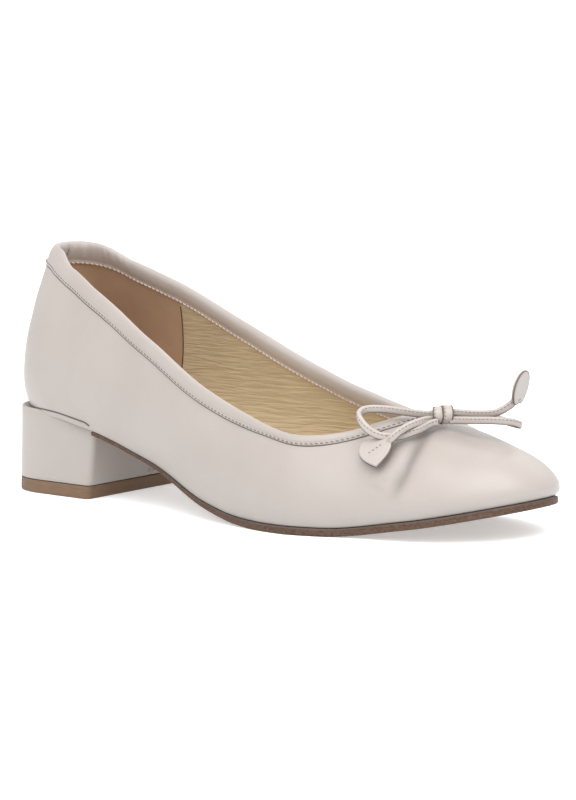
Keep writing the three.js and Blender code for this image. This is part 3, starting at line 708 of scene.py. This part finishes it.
def vamp_height(x, y):
    """The outer face's height over a place on the vamp."""
    along = min(x - back_x, toe_centre)
    station = body_station(along)
    middle = float(centre_line(along))
    side = -1 if y < middle else 1
    low, high = 0.0, QUARTER
    for _ in range(30):
        angle = (low + high) / 2
        if abs(surface(station, side, angle)[1] - middle) > abs(y - middle):
            low = angle
        else:
            high = angle
    return float(surface(station, side, low)[2])


knot = np.array([back_x + KNOT_X, KNOT_SHIFT, vamp_height(back_x + KNOT_X, KNOT_SHIFT) + KNOT_LIFT])


def bow_point(way, row):
    """A place of a strip's table, kept clear of the binding and the vamp."""
    out, across, lift = row
    left = np.cross(UP, way)
    point = knot + way * out * LOOP_LENGTH + left * across * LOOP_LENGTH
    bound = BINDING_SWELL if point[0] - back_x < THROAT_X + BINDING_WIDTH + CLEARANCE else 0
    rest = vamp_height(point[0], point[1]) + bound + CLEARANCE + STRIP_WIDTH / 2
    point[2] = max(point[2] + lift * LOOP_LENGTH, rest)
    return point


def smooth_line(points, per_span=10):
    """A centripetal Catmull-Rom line through the points."""
    points = [np.asarray(p, float) for p in points]
    padded = [2 * points[0] - points[1], *points, 2 * points[-1] - points[-2]]
    line = []
    for four in zip(padded, padded[1:], padded[2:], padded[3:]):
        times = np.cumsum([0.0] + [np.linalg.norm(b - a) ** 0.5 for a, b in zip(four, four[1:])])
        for t in np.linspace(times[1], times[2], per_span, endpoint=False):
            level = four
            for spans in (((0, 1), (1, 2), (2, 3)), ((0, 2), (1, 3)), ((1, 2),)):
                shares = [(t - times[i]) / (times[j] - times[i]) for i, j in spans]
                level = [a + (b - a) * share for a, b, share in zip(level, level[1:], shares)]
            line.append(level[0])
    line.append(points[-1])
    return np.array(line)


def strip_section(width, thickness, steps=20):
    """A rounded flat section: a superellipse."""
    turn = full_turn(steps)
    power = 2 / 2.8
    across = np.sign(np.cos(turn)) * np.abs(np.cos(turn)) ** power * thickness / 2
    up = np.sign(np.sin(turn)) * np.abs(np.sin(turn)) ** power * width / 2
    return np.stack([across, up], -1)


def make_strip(name, node_name, line, flat_from=1.0):
    """A flat strip with a row of stitches on each face. Past flat_from it thins, under its tab."""
    share = np.linspace(0, 1, len(line))
    section = strip_section(STRIP_WIDTH, STRIP_THICKNESS)
    sections = section * np.where(share > flat_from, UNDER_TAB, 1.0)[:, None, None]
    made = stack_piece(name, tube_rings(line, UP, sections), [KNOT_LEATHER], UPPER_SLOT, node_name)
    seen = share <= flat_from
    line, flat, thick = (ways[seen] for ways in (line, *strip_ways(line, UP)[1:]))
    trims = []
    for side, side_name in ((-1, "left"), (1, "right")):
        row = line + flat * side * STRIP_THICKNESS * 0.49 + thick * STRIP_WIDTH * 0.2
        trims.append(stitches(f"{name}_stitches_{side_name}", row, flat * side, STITCH, **FINE_STITCH))
    # A dark line along the strip's lower edge only: its raw cut edge, and painted shade under the strip
    low = line - thick * STRIP_WIDTH * 0.47
    trims.append(thin_line(name + "_cut_edge", low, UP, 0.0004, 0.0012, CUT_EDGE))
    return made, trims


def closed_tube(name, centre, out, across, section, look):
    """A closed band: a section, given as (out, across) pairs, carried round a closed line of points."""
    band = centre[:, None] + out[:, None] * section[None, :, :1] + across[:, None] * section[None, :, 1:]
    rows, columns = band.shape[:2]
    faces = [[k % (rows * columns) for k in face] for face in grid_faces(rows + 1, columns, closed=True)]
    return finish_piece(new_object(name, band.reshape(-1, 3), faces, [look], weld=1e-7), UPPER_SLOT)


def tangents(loop):
    return unit(np.roll(loop, -1, 0) - np.roll(loop, 1, 0))


def make_knot():
    """The knot: a core with the strip wrapped round it twice, one turn across the other."""
    way = unit(inner_way - outer_way)
    aside = np.cross(UP, way)

    def hoop(turn, drawn_in, size):
        wide, high = KNOT_WIDTH / 2 - drawn_in, KNOT_HEIGHT / 2 - drawn_in
        return size * (aside * np.cos(turn) * wide + UP * np.sin(turn) * high)

    turn = full_turn(40)[:, None]
    rings = []
    for share in np.linspace(-1, 1, 17):
        size = 0.86 * math.sqrt(max(0.02, 1 - share**2 * 0.98))
        rings.append(knot + way * share * KNOT_LENGTH * 0.42 + hoop(turn, 0, size))
    # The core is dark brown: painted shade deep in the knot, between and under the turns
    pieces = [stack_piece("knot_core", rings, [SHADE], UPPER_SLOT, "bow_knot")]
    turn = full_turn(64)[:, None]
    for name, shift, lean, size in (("first", -1.1, 0.77, 0.9), ("second", 1.1, -0.66, 1)):
        name = "knot_turn_" + name
        around = hoop(turn, 0.5 * MM, size)
        centre = knot + way * (shift + lean * np.cos(turn + 0.6)) * MM + around
        out = unit(around)
        across = np.cross(tangents(centre), out)
        pieces.append(closed_tube(name, centre, out, across, strip_section(0.0033, 0.0011), KNOT_LEATHER))
        for side, side_name in ((-1, "left"), (1, "right")):
            middle = centre + out * 0.0003 + across * side * 0.00165
            edge = strip_section(0.00035, 0.00055, 8)[:, ::-1]
            pieces.append(closed_tube(f"{name}_{side_name}_edge", middle, out, across, edge, CUT_EDGE))
        row = centre + out * 0.00052 + across * 0.0011
        pieces.append(stitches(name + "_stitches", row, out, STITCH, **FINE_STITCH))
    return pieces


def tab_outline(rows):
    """The tab's outline as shares of its length and half its width, smooth but for the tip."""
    side = smooth_line([(0, 0, 0)] + [(along, aside, 0) for along, aside in rows], 8)[:, :2]
    return np.concatenate([side * [1, -1], side[::-1][1:-1]])


def make_tab(name, node_name, root, along, facing, rows):
    """A tab of two layers: a flat plate with rounded edges and a short row of stitches."""
    aside = unit(np.cross(facing, along))
    outline = tab_outline(rows)
    middle = np.array([0.45, 0.0])
    half = TAB_THICKNESS / 2

    def place(ahead, beside, lift):
        return root + along * ahead * TAB_LENGTH + aside * beside * TAB_WIDTH / 2 + facing * lift * half

    def ring(lift, inset):
        shape = middle + (outline - middle) * (1 - inset)
        return place(shape[:, :1], shape[:, 1:], lift)

    rings = [ring(lift, inset) for lift, inset in TAB_LAYERS]
    tab = stack_piece(name, rings, [KNOT_LEATHER], UPPER_SLOT, node_name)
    edge = ring(-0.45, -0.01)
    up = np.broadcast_to(facing, edge.shape)
    across = unit(np.cross(tangents(edge), up))
    trim = closed_tube(name + "_cut_edge", edge, up, across, strip_section(0.0004, 0.0006, 8), CUT_EDGE)
    share = np.linspace(0, 1, 12)[:, None]
    row = place(0.3 + 0.2 * share, 0.48 - 0.92 * share, 1.15)
    sewn = stitches(name + "_stitches", row, np.broadcast_to(facing, row.shape), STITCH, **TAB_STITCH)
    return [tab, trim, sewn]


def outer_tab_place():
    x, y = knot[0] - OUTER_TAB_BACK, knot[1] - OUTER_TAB_ASIDE
    ahead = vamp_height(x - TAB_STEP, y) - vamp_height(x + TAB_STEP, y)
    left = vamp_height(x, y - TAB_STEP) - vamp_height(x, y + TAB_STEP)
    facing = unit([ahead, left, 2 * TAB_STEP])
    tip = np.array([math.cos(OUTER_TAB_TURN), -math.sin(OUTER_TAB_TURN), 0.0])
    along = unit(tip - facing * (tip @ facing))
    middle = np.array([x, y, vamp_height(x, y)]) + facing * OUTER_TAB_LIFT
    return middle - along * TAB_LENGTH / 2, along, facing


def inner_tab_place():
    along = unit([0.24, 0.05, 0.97])
    facing = unit(np.cross(along, [-0.29, 0.956, 0.0]))
    onwards, out, up = INNER_TAB_SHIFT
    root = bow_point(inner_way, INNER_END[-1]) + inner_way * onwards + facing * out
    return root + along * (up - INNER_TAB_OVERLAP), along, facing


def make_bow():
    for name, way, rows, pieces in (
        ("outer", outer_way, OUTER_LOOP, make_knot()),
        ("inner", inner_way, INNER_LOOP, []),
    ):
        start, end = [(0.08, row[1] * 0.9, row[2]) for row in (rows[0], rows[-1])]
        line = smooth_line([bow_point(way, row) for row in (start, *rows, end)])
        made, trims = make_strip(name + "_loop_strip", "bow_loop_" + name, line)
    for name, way, rows, tab_place, outline, hidden in (
        ("outer", outer_way, OUTER_END, outer_tab_place, TAB, UNDER_OUTER_TAB),
        ("inner", inner_way, INNER_END, inner_tab_place, ROUND_TAB, UNDER_INNER_TAB),
    ):
        root, along, facing = tab_place()
        aside = unit(np.cross(facing, along)) * TAB_WIDTH / 2
        start = (-0.03, rows[0][1] * 0.5, rows[0][2])
        points = [bow_point(way, row) for row in (start, *rows)]
        points += [root + along * TAB_LENGTH * share + aside * beside for share, beside in hidden]
        line = smooth_line(points)
        flat_from = (len(rows) + 0.2) / (len(points) - 1)
        made, trims = make_strip(name + "_end_strip", "bow_end_" + name, line, flat_from)
        tab = make_tab(name + "_end_tab", "bow_tab_" + name, root, along, facing, outline)


make_bow()

# The upper


def crease(points, line, width):
    """How strongly one crease marks each point, from 0 to 1."""
    line = np.array(line) * MM
    spans = len(line) - 1
    nearest = np.full(points.shape[:-1], 1.0)
    along = np.zeros(points.shape[:-1])
    for i in range(spans):
        way = line[i + 1] - line[i]
        low, high = (-0.6 if i == 0 else 0), (1.6 if i == spans - 1 else 1)
        share = np.clip(((points - line[i]) @ way) / (way @ way), low, high)
        distance = np.linalg.norm(points - line[i] - share[..., None] * way, axis=-1)
        closer = distance < nearest
        nearest = np.where(closer, distance, nearest)
        along = np.where(closer, (i + share) / spans, along)
    fade = np.exp(-((np.maximum(0, np.abs(along - 0.5) - 0.4) / 0.3) ** 2))
    return fade * np.exp(-((nearest / (width * MM)) ** 2))


def relief(points):
    """How far the outer face stands out from the last, and the shade painted on it: creases and slight waves,
    with painted shade in the creases.
    """
    x, y, z = points[..., 0], points[..., 1], points[..., 2]
    total = 0.00009 * np.sin(x * 210 + z * 90) * np.sin(z * 260 + y * 140 + 1.1)
    painted_shade = np.zeros(points.shape[:-1])
    for line, width, depth in CREASES:
        mark = crease(points, line, width) * depth
        total = total - mark * MM
        painted_shade = np.maximum(painted_shade, mark)
    return total, painted_shade


def make_upper():
    outside = BINDING_WIDTH * 0.55
    opened = opening_stations(outside)
    closed = vamp_stations(THROAT_X + outside)
    stations = join(opened, closed)
    top = np.concatenate([opening_angle(opened, outside), np.full(len(closed["foot"]), QUARTER)])
    shares = np.linspace(0, 1, 65) ** 1.15

    def face(grow, with_creases_and_painted_shade):
        def one(side):
            columns = []
            for share in shares:
                column = surface(stations, side, top * share, grow)
                if with_creases_and_painted_shade:
                    # The creases also give painted shade, kept as a fourth column
                    raised, painted_shade = relief(column)
                    column = surface(stations, side, top * share, raised * min(1, share / 0.08))
                    column = np.concatenate([column, painted_shade[:, None]], 1)
                columns.append(column)
            return np.stack(columns, 1)
        return both_sides(one)

    outer, inner = face(0.0, True), face(-WALL, False)
    rows, columns = outer.shape[:2]
    painted_shading = np.concatenate([outer[..., 3].ravel(), np.zeros(rows * columns)])
    outer = outer[..., :3]
    points = np.concatenate([outer.reshape(-1, 3), inner.reshape(-1, 3)])
    outer_faces = grid_faces(rows, columns)
    inner_faces = grid_faces(rows, columns, start=rows * columns)
    rims = []
    for r in range(rows - 1):
        for c in (0, columns - 1):
            a, b = r * columns + c, (r + 1) * columns + c
            rims.append([a, b, b + rows * columns, a + rows * columns])
    slots = [0] * len(outer_faces) + [1] * len(inner_faces) + [0] * len(rims)
    faces = outer_faces + inner_faces + rims
    made = new_object("upper_shell", points, faces, [BLUSH, INSIDE], slots, painted_shading=painted_shading)
    finish_piece(made, UPPER_SLOT, "upper")


def make_lining_seam():
    """The turned edge of the lining, where it meets the suede, as a thin dark line on each side."""
    for side, name in ((-1, "outer"), (1, "inner")):
        line, out = [], []
        for share in np.linspace(0.04, 0.93, 40):
            foot = 0.05
            for _ in range(12):
                station = body_station(foot)
                angle = share * float(opening_angle(station, BINDING_WIDTH))
                height = float(surface(station, side, angle, -WALL)[2])
                foot = SEAM_START + SEAM_SLOPE * height - back_x
            station = body_station(foot)
            line.append(surface(station, side, angle, -WALL))
            out.append(surface(station, side, angle, -WALL - 0.001) - line[-1])
        line, out = np.array(line), unit(np.array(out))
        thin_line("lining_seam_" + name, line + out * 0.05 * MM, out, 0.0006, 0.0004, SHADE, "lining_leather")


make_upper()
make_lining_seam()

# The binding

BINDING_PROFILE = table(
    "at lift",
    (0, 1), (0.3, 1.2), (0.6, 1), (0.76, 0.66), (0.82, 0.62), (0.9, 0.76), (0.97, 0.66), (1, 0.45),
)
ROLL_FROM = 0.12
BINDING_LEAN = 0.0017  # how far the binding leans in at the back, beyond the part's
LEAN_RUN = 0.03
INNER_GATHER = 0.00028
OUTER_GATHER = 0.00004
# The binding is narrower than the part's, as in the photograph. Shares of its width: where the roll begins on
# each side, and where its outer face ends
TRIM = table(
    "at outer inner foot",
    (0, 0, 0, 1), (0.06, 0.05, 0.03, 1), (0.12, 0.12, 0.08, 1), (0.4, 0.14, 0.1, 0.94),
    (0.53, 0.21, 0.1, 0.88), (0.64, 0.37, 0.1, 0.8), (0.72, 0.37, 0.13, 0.8),
    (0.783, 0.14, 0.14, 0.86),
)


def line_on(place):
    """A line on both sides, from a function of the side and how far out, and the way out of its surface."""
    line = both_sides(lambda side: place(side, 0.0))
    return line, unit(both_sides(lambda side: place(side, MM)) - line)


def binding_place(side, down, out, gather=0.0):
    """A place on the binding: down from the topline, a share of its width, and out from the wall's middle."""
    top, foot = opening_stations(0), opening_stations(BINDING_WIDTH)
    top_angle, foot_angle = opening_angle(top, 0), opening_angle(foot, BINDING_WIDTH)
    share = top["foot"] / SHOE_LENGTH
    first = read(TRIM, "outer" if side < 0 else "inner", share)
    last = read(TRIM, "foot", share) if out > 0 else 1.0
    down = first + (last - first) * down
    station = {key: top[key] + (foot[key] - top[key]) * down for key in top}
    angle = top_angle + (foot_angle - top_angle) * down
    run = run_of(surface(top, side, top_angle))
    if gather:
        wave = np.sin(run * 2 * math.pi / 0.0034 + 1.3 * np.sin(run * 420)) + 0.5 * np.sin(run * 2900 + side)
        out = out + np.sign(out) * gather * wave * np.exp(-((run / 0.04) ** 2))
    lean = BINDING_LEAN * np.maximum(0, 1 - down) ** 1.5 * np.exp(-((run / LEAN_RUN) ** 2))
    points = surface(station, side, angle, -WALL / 2 + out - lean)
    points[:, 2] += 0.8 * lean
    return points


def binding_out(at):
    """How far the binding's face stands out from the middle of the wall."""
    return WALL / 2 + BINDING_SWELL * float(read(BINDING_PROFILE, "lift", at))


def make_binding():
    half = WALL / 2 + BINDING_SWELL
    outer = [(at, binding_out(at)) for at in np.linspace(1, ROLL_FROM, 24)]
    turns = np.linspace(0, math.pi, 13)[1:-1]
    over = [(ROLL_FROM - 0.26 * math.sin(turn), half * math.cos(turn)) for turn in turns]
    inner = [(down, -out) for down, out in reversed(outer)]
    section = [(1.0, 0.1 * WALL)] + outer + over + inner + [(1.0, -0.1 * WALL)]

    def one(side):
        gathers = [(INNER_GATHER if out < 0 else OUTER_GATHER) * min(1, 1.4 - down) for down, out in section]
        return np.stack([binding_place(side, *place, gather) for place, gather in zip(section, gathers)], 1)

    rings = both_sides(one)
    rows, columns = rings.shape[:2]
    # Painted light: the binding's inner faces, down from the roll, get a paler colour, as if lit more
    painted_light_inside = [-1.5 * min(1, max(0, down + 0.1) / 0.3) if out < 0 else 0 for down, out in section]
    faces = grid_faces(rows, columns, closed=True)
    made = new_object("binding_roll", rings.reshape(-1, 3), faces, [BLUSH], painted_shading=np.tile(painted_light_inside, rows))
    finish_piece(made, UPPER_SLOT, "topline_binding")

    for name, sign, look, sewn_at, length, thick in (
        ("outside", 1, STITCH, 0.9, 0.0013, 0.00042),
        ("inside", -1, PALE_STITCH, 0.95, 0.0016, 0.0006),
    ):
        out = binding_out(sewn_at)
        line, away = line_on(lambda side, more: binding_place(side, sewn_at, sign * (out + more)))
        stitches("binding_stitches_" + name, line, away, look, 0.0019, length, thick, 0.2)

    # A thin dark line along the binding's lower edge: a dark joint, with painted shade under the binding's
    # overhang
    line, away = line_on(lambda side, more: binding_place(side, 1.02, WALL / 2 + 0.04 * MM + more))
    thin_line("binding_edge", line, away, 0.0005, 0.00034, SHADE)


make_binding()

# Sole, insole and heel. The sole's edge: how far down, as a share, and how far out, in millimetres.
# The channel line: how far in and how deep, in millimetres.
SOLE_PROFILE = ((0, -1.6), (0.1, -1.2), (0.14, -0.3), (0.2, -0.02), (0.3, 0.06), (0.42, 0.1), (0.5, -0.02))
SOLE_PROFILE += ((0.56, 0.1), (0.78, 0.07), (0.9, -0.1), (1, -0.5))
CHANNEL = ((5, 0), (5.3, 0.3), (5.7, 0.3), (6, 0))


def all_stations():
    return join(opening_stations(0), vamp_stations(THROAT_X))


def ring_of(stations, grow, heights):
    """A closed ring round the shoe, at the lower edge grown outwards, with its own heights."""
    def one(side):
        line = surface(stations, side, 0.0, grow)
        line[:, 2] = heights
        return line
    return both_sides(one)


def make_outsole():
    first = heel_top_x - back_x + CLEARANCE
    whole = all_stations()
    stations = {key: value[whole["foot"] > first] for key, value in whole.items()}
    stations = join(body_station([first]), stations)
    x = stations["foot"]
    share = np.clip((x - first) / MARGIN_RUN, 0, 1)
    thickening = np.clip((x - first - THIN_RUN) / THICKENING_RUN, 0, 1)
    thick = WAIST_THICKNESS + (SOLE_THICKNESS - WAIST_THICKNESS) * thickening
    rings = []
    for depth, out in SOLE_PROFILE:
        rings.append(ring_of(stations, SOLE_MARGIN * share + out * MM, feather(x) - depth * thick))
    for inset, depth in CHANNEL:
        height = feather(x) - thick + depth * MM
        rings.append(ring_of(stations, SOLE_MARGIN * share - inset * MM, height))
    # The groove at the top of the sole's edge is dark brown: a dark joint, with painted shade in the recess
    looks = [SOLE_EDGE, SHADE, SOLE_BASE]
    order = [1, 1, 1] + [0] * 7 + [2] * 4
    stack_piece("outsole_edge", rings, looks, "sole_leather", "outsole", ring_looks=order)


def make_insole():
    stations = all_stations()
    x = stations["foot"]
    rings = []
    for lift, grow in ((0.0, -0.4), (0.85, -0.3), (1.0, -0.9), (1.02, -3.0)):
        rings.append(ring_of(stations, -WALL + grow * MM, feather(x) + lift * INSOLE_THICKNESS))
    stack_piece("sock", rings, [INSIDE], "lining_leather", "insole", shift=1)


HEEL_SEAM_Y = 0.0045


def heel_ring(z, inset, seam=0.0):
    """The heel's outline at a height, as in the part, with more points. seam is how deep its seam lies."""
    height = min(1, z / SEAT_HEIGHT)
    flare = HEEL_FLARE * height + inset
    half = HEEL_WIDTH / 2 - flare
    back = -HEEL_LENGTH / 2 + flare
    front = breast_x + HEEL_LEAN * height - inset
    corner = HEEL_CORNER - min(inset, HEEL_CORNER / 2)
    near_seam = HEEL_SEAM_Y + np.linspace(-0.0012, 0.0012, 9)
    side = [(front, y) for y in [0, 0.0012, 0.0024, *near_seam, *np.linspace(0.008, half - corner, 8)[:-1]]]
    for turn in np.linspace(0, QUARTER, 9):
        side.append((front - corner + corner * math.cos(turn), half - corner + corner * math.sin(turn)))
    for turn in np.linspace(QUARTER, 0, 41):
        reach = float(round_reach(HEEL_ROUND_BACK, half, turn, HEEL_BLUNTNESS))
        side.append((back + HEEL_ROUND_BACK - reach * math.cos(turn), reach * math.sin(turn)))
    points = np.array([(px, py, z) for px, py in side] + [(px, -py, z) for px, py in side[::-1][1:-1]])
    from_seam = (points[:, 1] - HEEL_SEAM_Y) / 0.00045
    at_front = points[:, 0] > front - 1e-6
    points[:, 0] -= np.where(at_front, seam * np.exp(-(from_seam**2)), 0)
    return points


def rim_height(foot):
    """How far the heel's cover comes up round the seat."""
    ease = np.clip((heel_top_x - back_x - foot) / HEEL_FRONT_FALL, 0, 1)
    return HEEL_RIM * (HEEL_FRONT_RIM + (1 - HEEL_FRONT_RIM) * np.sin(QUARTER * ease))


def make_heel():
    start = TOP_PIECE + CLEARANCE / 2
    seam = 0.0004
    rings = [heel_ring(start, 0.6 * MM)]
    rings += [heel_ring(start + up * MM, inset * MM, seam=seam) for up, inset in ((0, 0.15), (0.3, 0))]
    for z in np.linspace(start + 0.002, SEAT_HEIGHT * 0.8, 9):
        rings.append(heel_ring(z, 0.0, seam=seam))

    def rim(inset, drop):
        ring = heel_ring(SEAT_HEIGHT, inset, seam=seam)
        x = ring[:, 0] - back_x
        ring[:, 2] = feather(np.maximum(0, x)) + rim_height(x) - drop
        return ring

    for inset, drop in ((0, 0.4), (0.12, 0.12), (0.4, 0), (0.9, 0.3), (3, 3)):
        rings.append(rim(inset * MM, drop * MM))
    stack_piece("heel_cover", rings, [BLUSH], UPPER_SLOT, "heel_block", shift=1)

    # A thin dark line where the heel cover meets the upper: painted shade in the gap between them
    foot = np.linspace(0, heel_top_x - back_x, 60)
    seat = foot < HEEL_ROUND
    turn = np.arccos(np.clip(1 - foot[seat] / HEEL_ROUND, 0, 1) ** (SEAT_BLUNTNESS / 2))
    stations = join(seat_station(turn), body_station(foot[~seat]))
    height = rim_height(foot) + (0.1 + 10 * foot) * MM
    angle = np.arcsin((height / (crest_height(foot) - feather(foot))) ** (1 / RISE))
    line, away = line_on(lambda side, more: surface(stations, side, angle, more)[::-1])
    thin_line("heel_joint", line, away, 0.0006, 0.0006, SHADE)

    for name, shift in (("left", 0.0011), ("right", -0.0011)):
        heights = np.linspace(start + 0.001, SEAT_HEIGHT * 0.78, 12)
        line = [(breast_x + HEEL_LEAN * z / SEAT_HEIGHT, HEEL_SEAM_Y + shift, z) for z in heights]
        out = np.broadcast_to([1.0, 0, -0.14], (len(line), 3))
        stitches("heel_stitches_" + name, line, out, STITCH, **HEEL_STITCH)


def make_back_strip():
    """The plain strip over the back seam."""
    half_turn = BACK_STRIP_WIDTH / 2 / HEEL_ROUND
    crest = float(read(SECTIONS, "crest", 0)) * THROAT_DEPTH
    highest = BACK_HEIGHT - BINDING_WIDTH - 2 * CLEARANCE
    end = [(1, 0.0), (1, 0.6), (0.93, 0.92)]
    profile = end + [(aside, 1.0) for aside in np.linspace(0.8, -0.8, 9)]
    profile += [(-aside, lift) for aside, lift in end[::-1]]
    rings = []
    for share in np.linspace(1, 0, 13):
        angle = math.asin(((highest - STRIP_DROP * share) / crest) ** (1 / RISE))
        ring = []
        for aside, lift in profile:
            turn = aside * half_turn
            grow = CLEARANCE * 0.3 + BACK_STRIP_THICKNESS * lift
            ring.append(surface(seat_station(abs(turn)), -1 if turn < 0 else 1, angle, grow))
        rings.append(ring)
    stack_piece("back_seam_strip", rings, [DARK], "dark_trim", "back_strip")


def make_top_piece():
    top = TOP_PIECE - CLEARANCE / 2
    rings = [heel_ring(z * MM, inset * MM) for z, inset in ((0, 2), (0, 0.5), (0.15, 0.15), (0.5, 0))]
    rings += [heel_ring(z, 0.0) for z in np.linspace(0.001, top - 0.3 * MM, 5)]
    rings += [heel_ring(top, 0.15 * MM), heel_ring(top, 1 * MM)]
    stack_piece("heel_tip", rings, [RUBBER], "top_piece_rubber", "top_piece", shift=1)


make_outsole()
make_insole()
make_heel()
make_top_piece()
make_back_strip()

# Floor and light: each lamp's name, place, size and power
FLOOR_SIZE = 6.0
LAMPS = (
    ("key", (0.8, -0.35, 1.35), 1.2, 18.5),
    ("back_light", (-0.1, 1.1, 1.3), 1.4, 7),
    ("front_light", (0.3, -1.2, 1.15), 1.5, 11.5),
)


def make_stage():
    half = FLOOR_SIZE / 2
    corners = [(-half, -half, 0), (half, -half, 0), (half, half, 0), (-half, half, 0)]
    white, tree, shader, _ = material("white_floor")
    fill(tree, shader, {"Base Color": (0.7, 0.73, 0.76, 1), "Roughness": 0.9})
    fill(tree, shader, {"Emission Color": (1, 1, 1, 1), "Emission Strength": 0.4})
    new_object("floor", corners, [(0, 1, 2, 3)], [white], smooth=False)
    world = bpy.data.worlds.new("world")
    bpy.context.scene.world = world
    world.use_nodes = True
    fill(world.node_tree, world.node_tree.nodes["Background"], {"Color": (1, 1, 1, 1), "Strength": 1.15})
    for name, place, size, power in LAMPS:
        data = bpy.data.lights.new(name, "AREA")
        data.size = size
        data.energy = power
        lamp = add_object(name, data)
        lamp.location = place
        lamp.rotation_euler = (TARGET - Vector(place)).to_track_quat("-Z", "Y").to_euler()
    bpy.context.scene.view_settings.view_transform = "Standard"


make_stage()
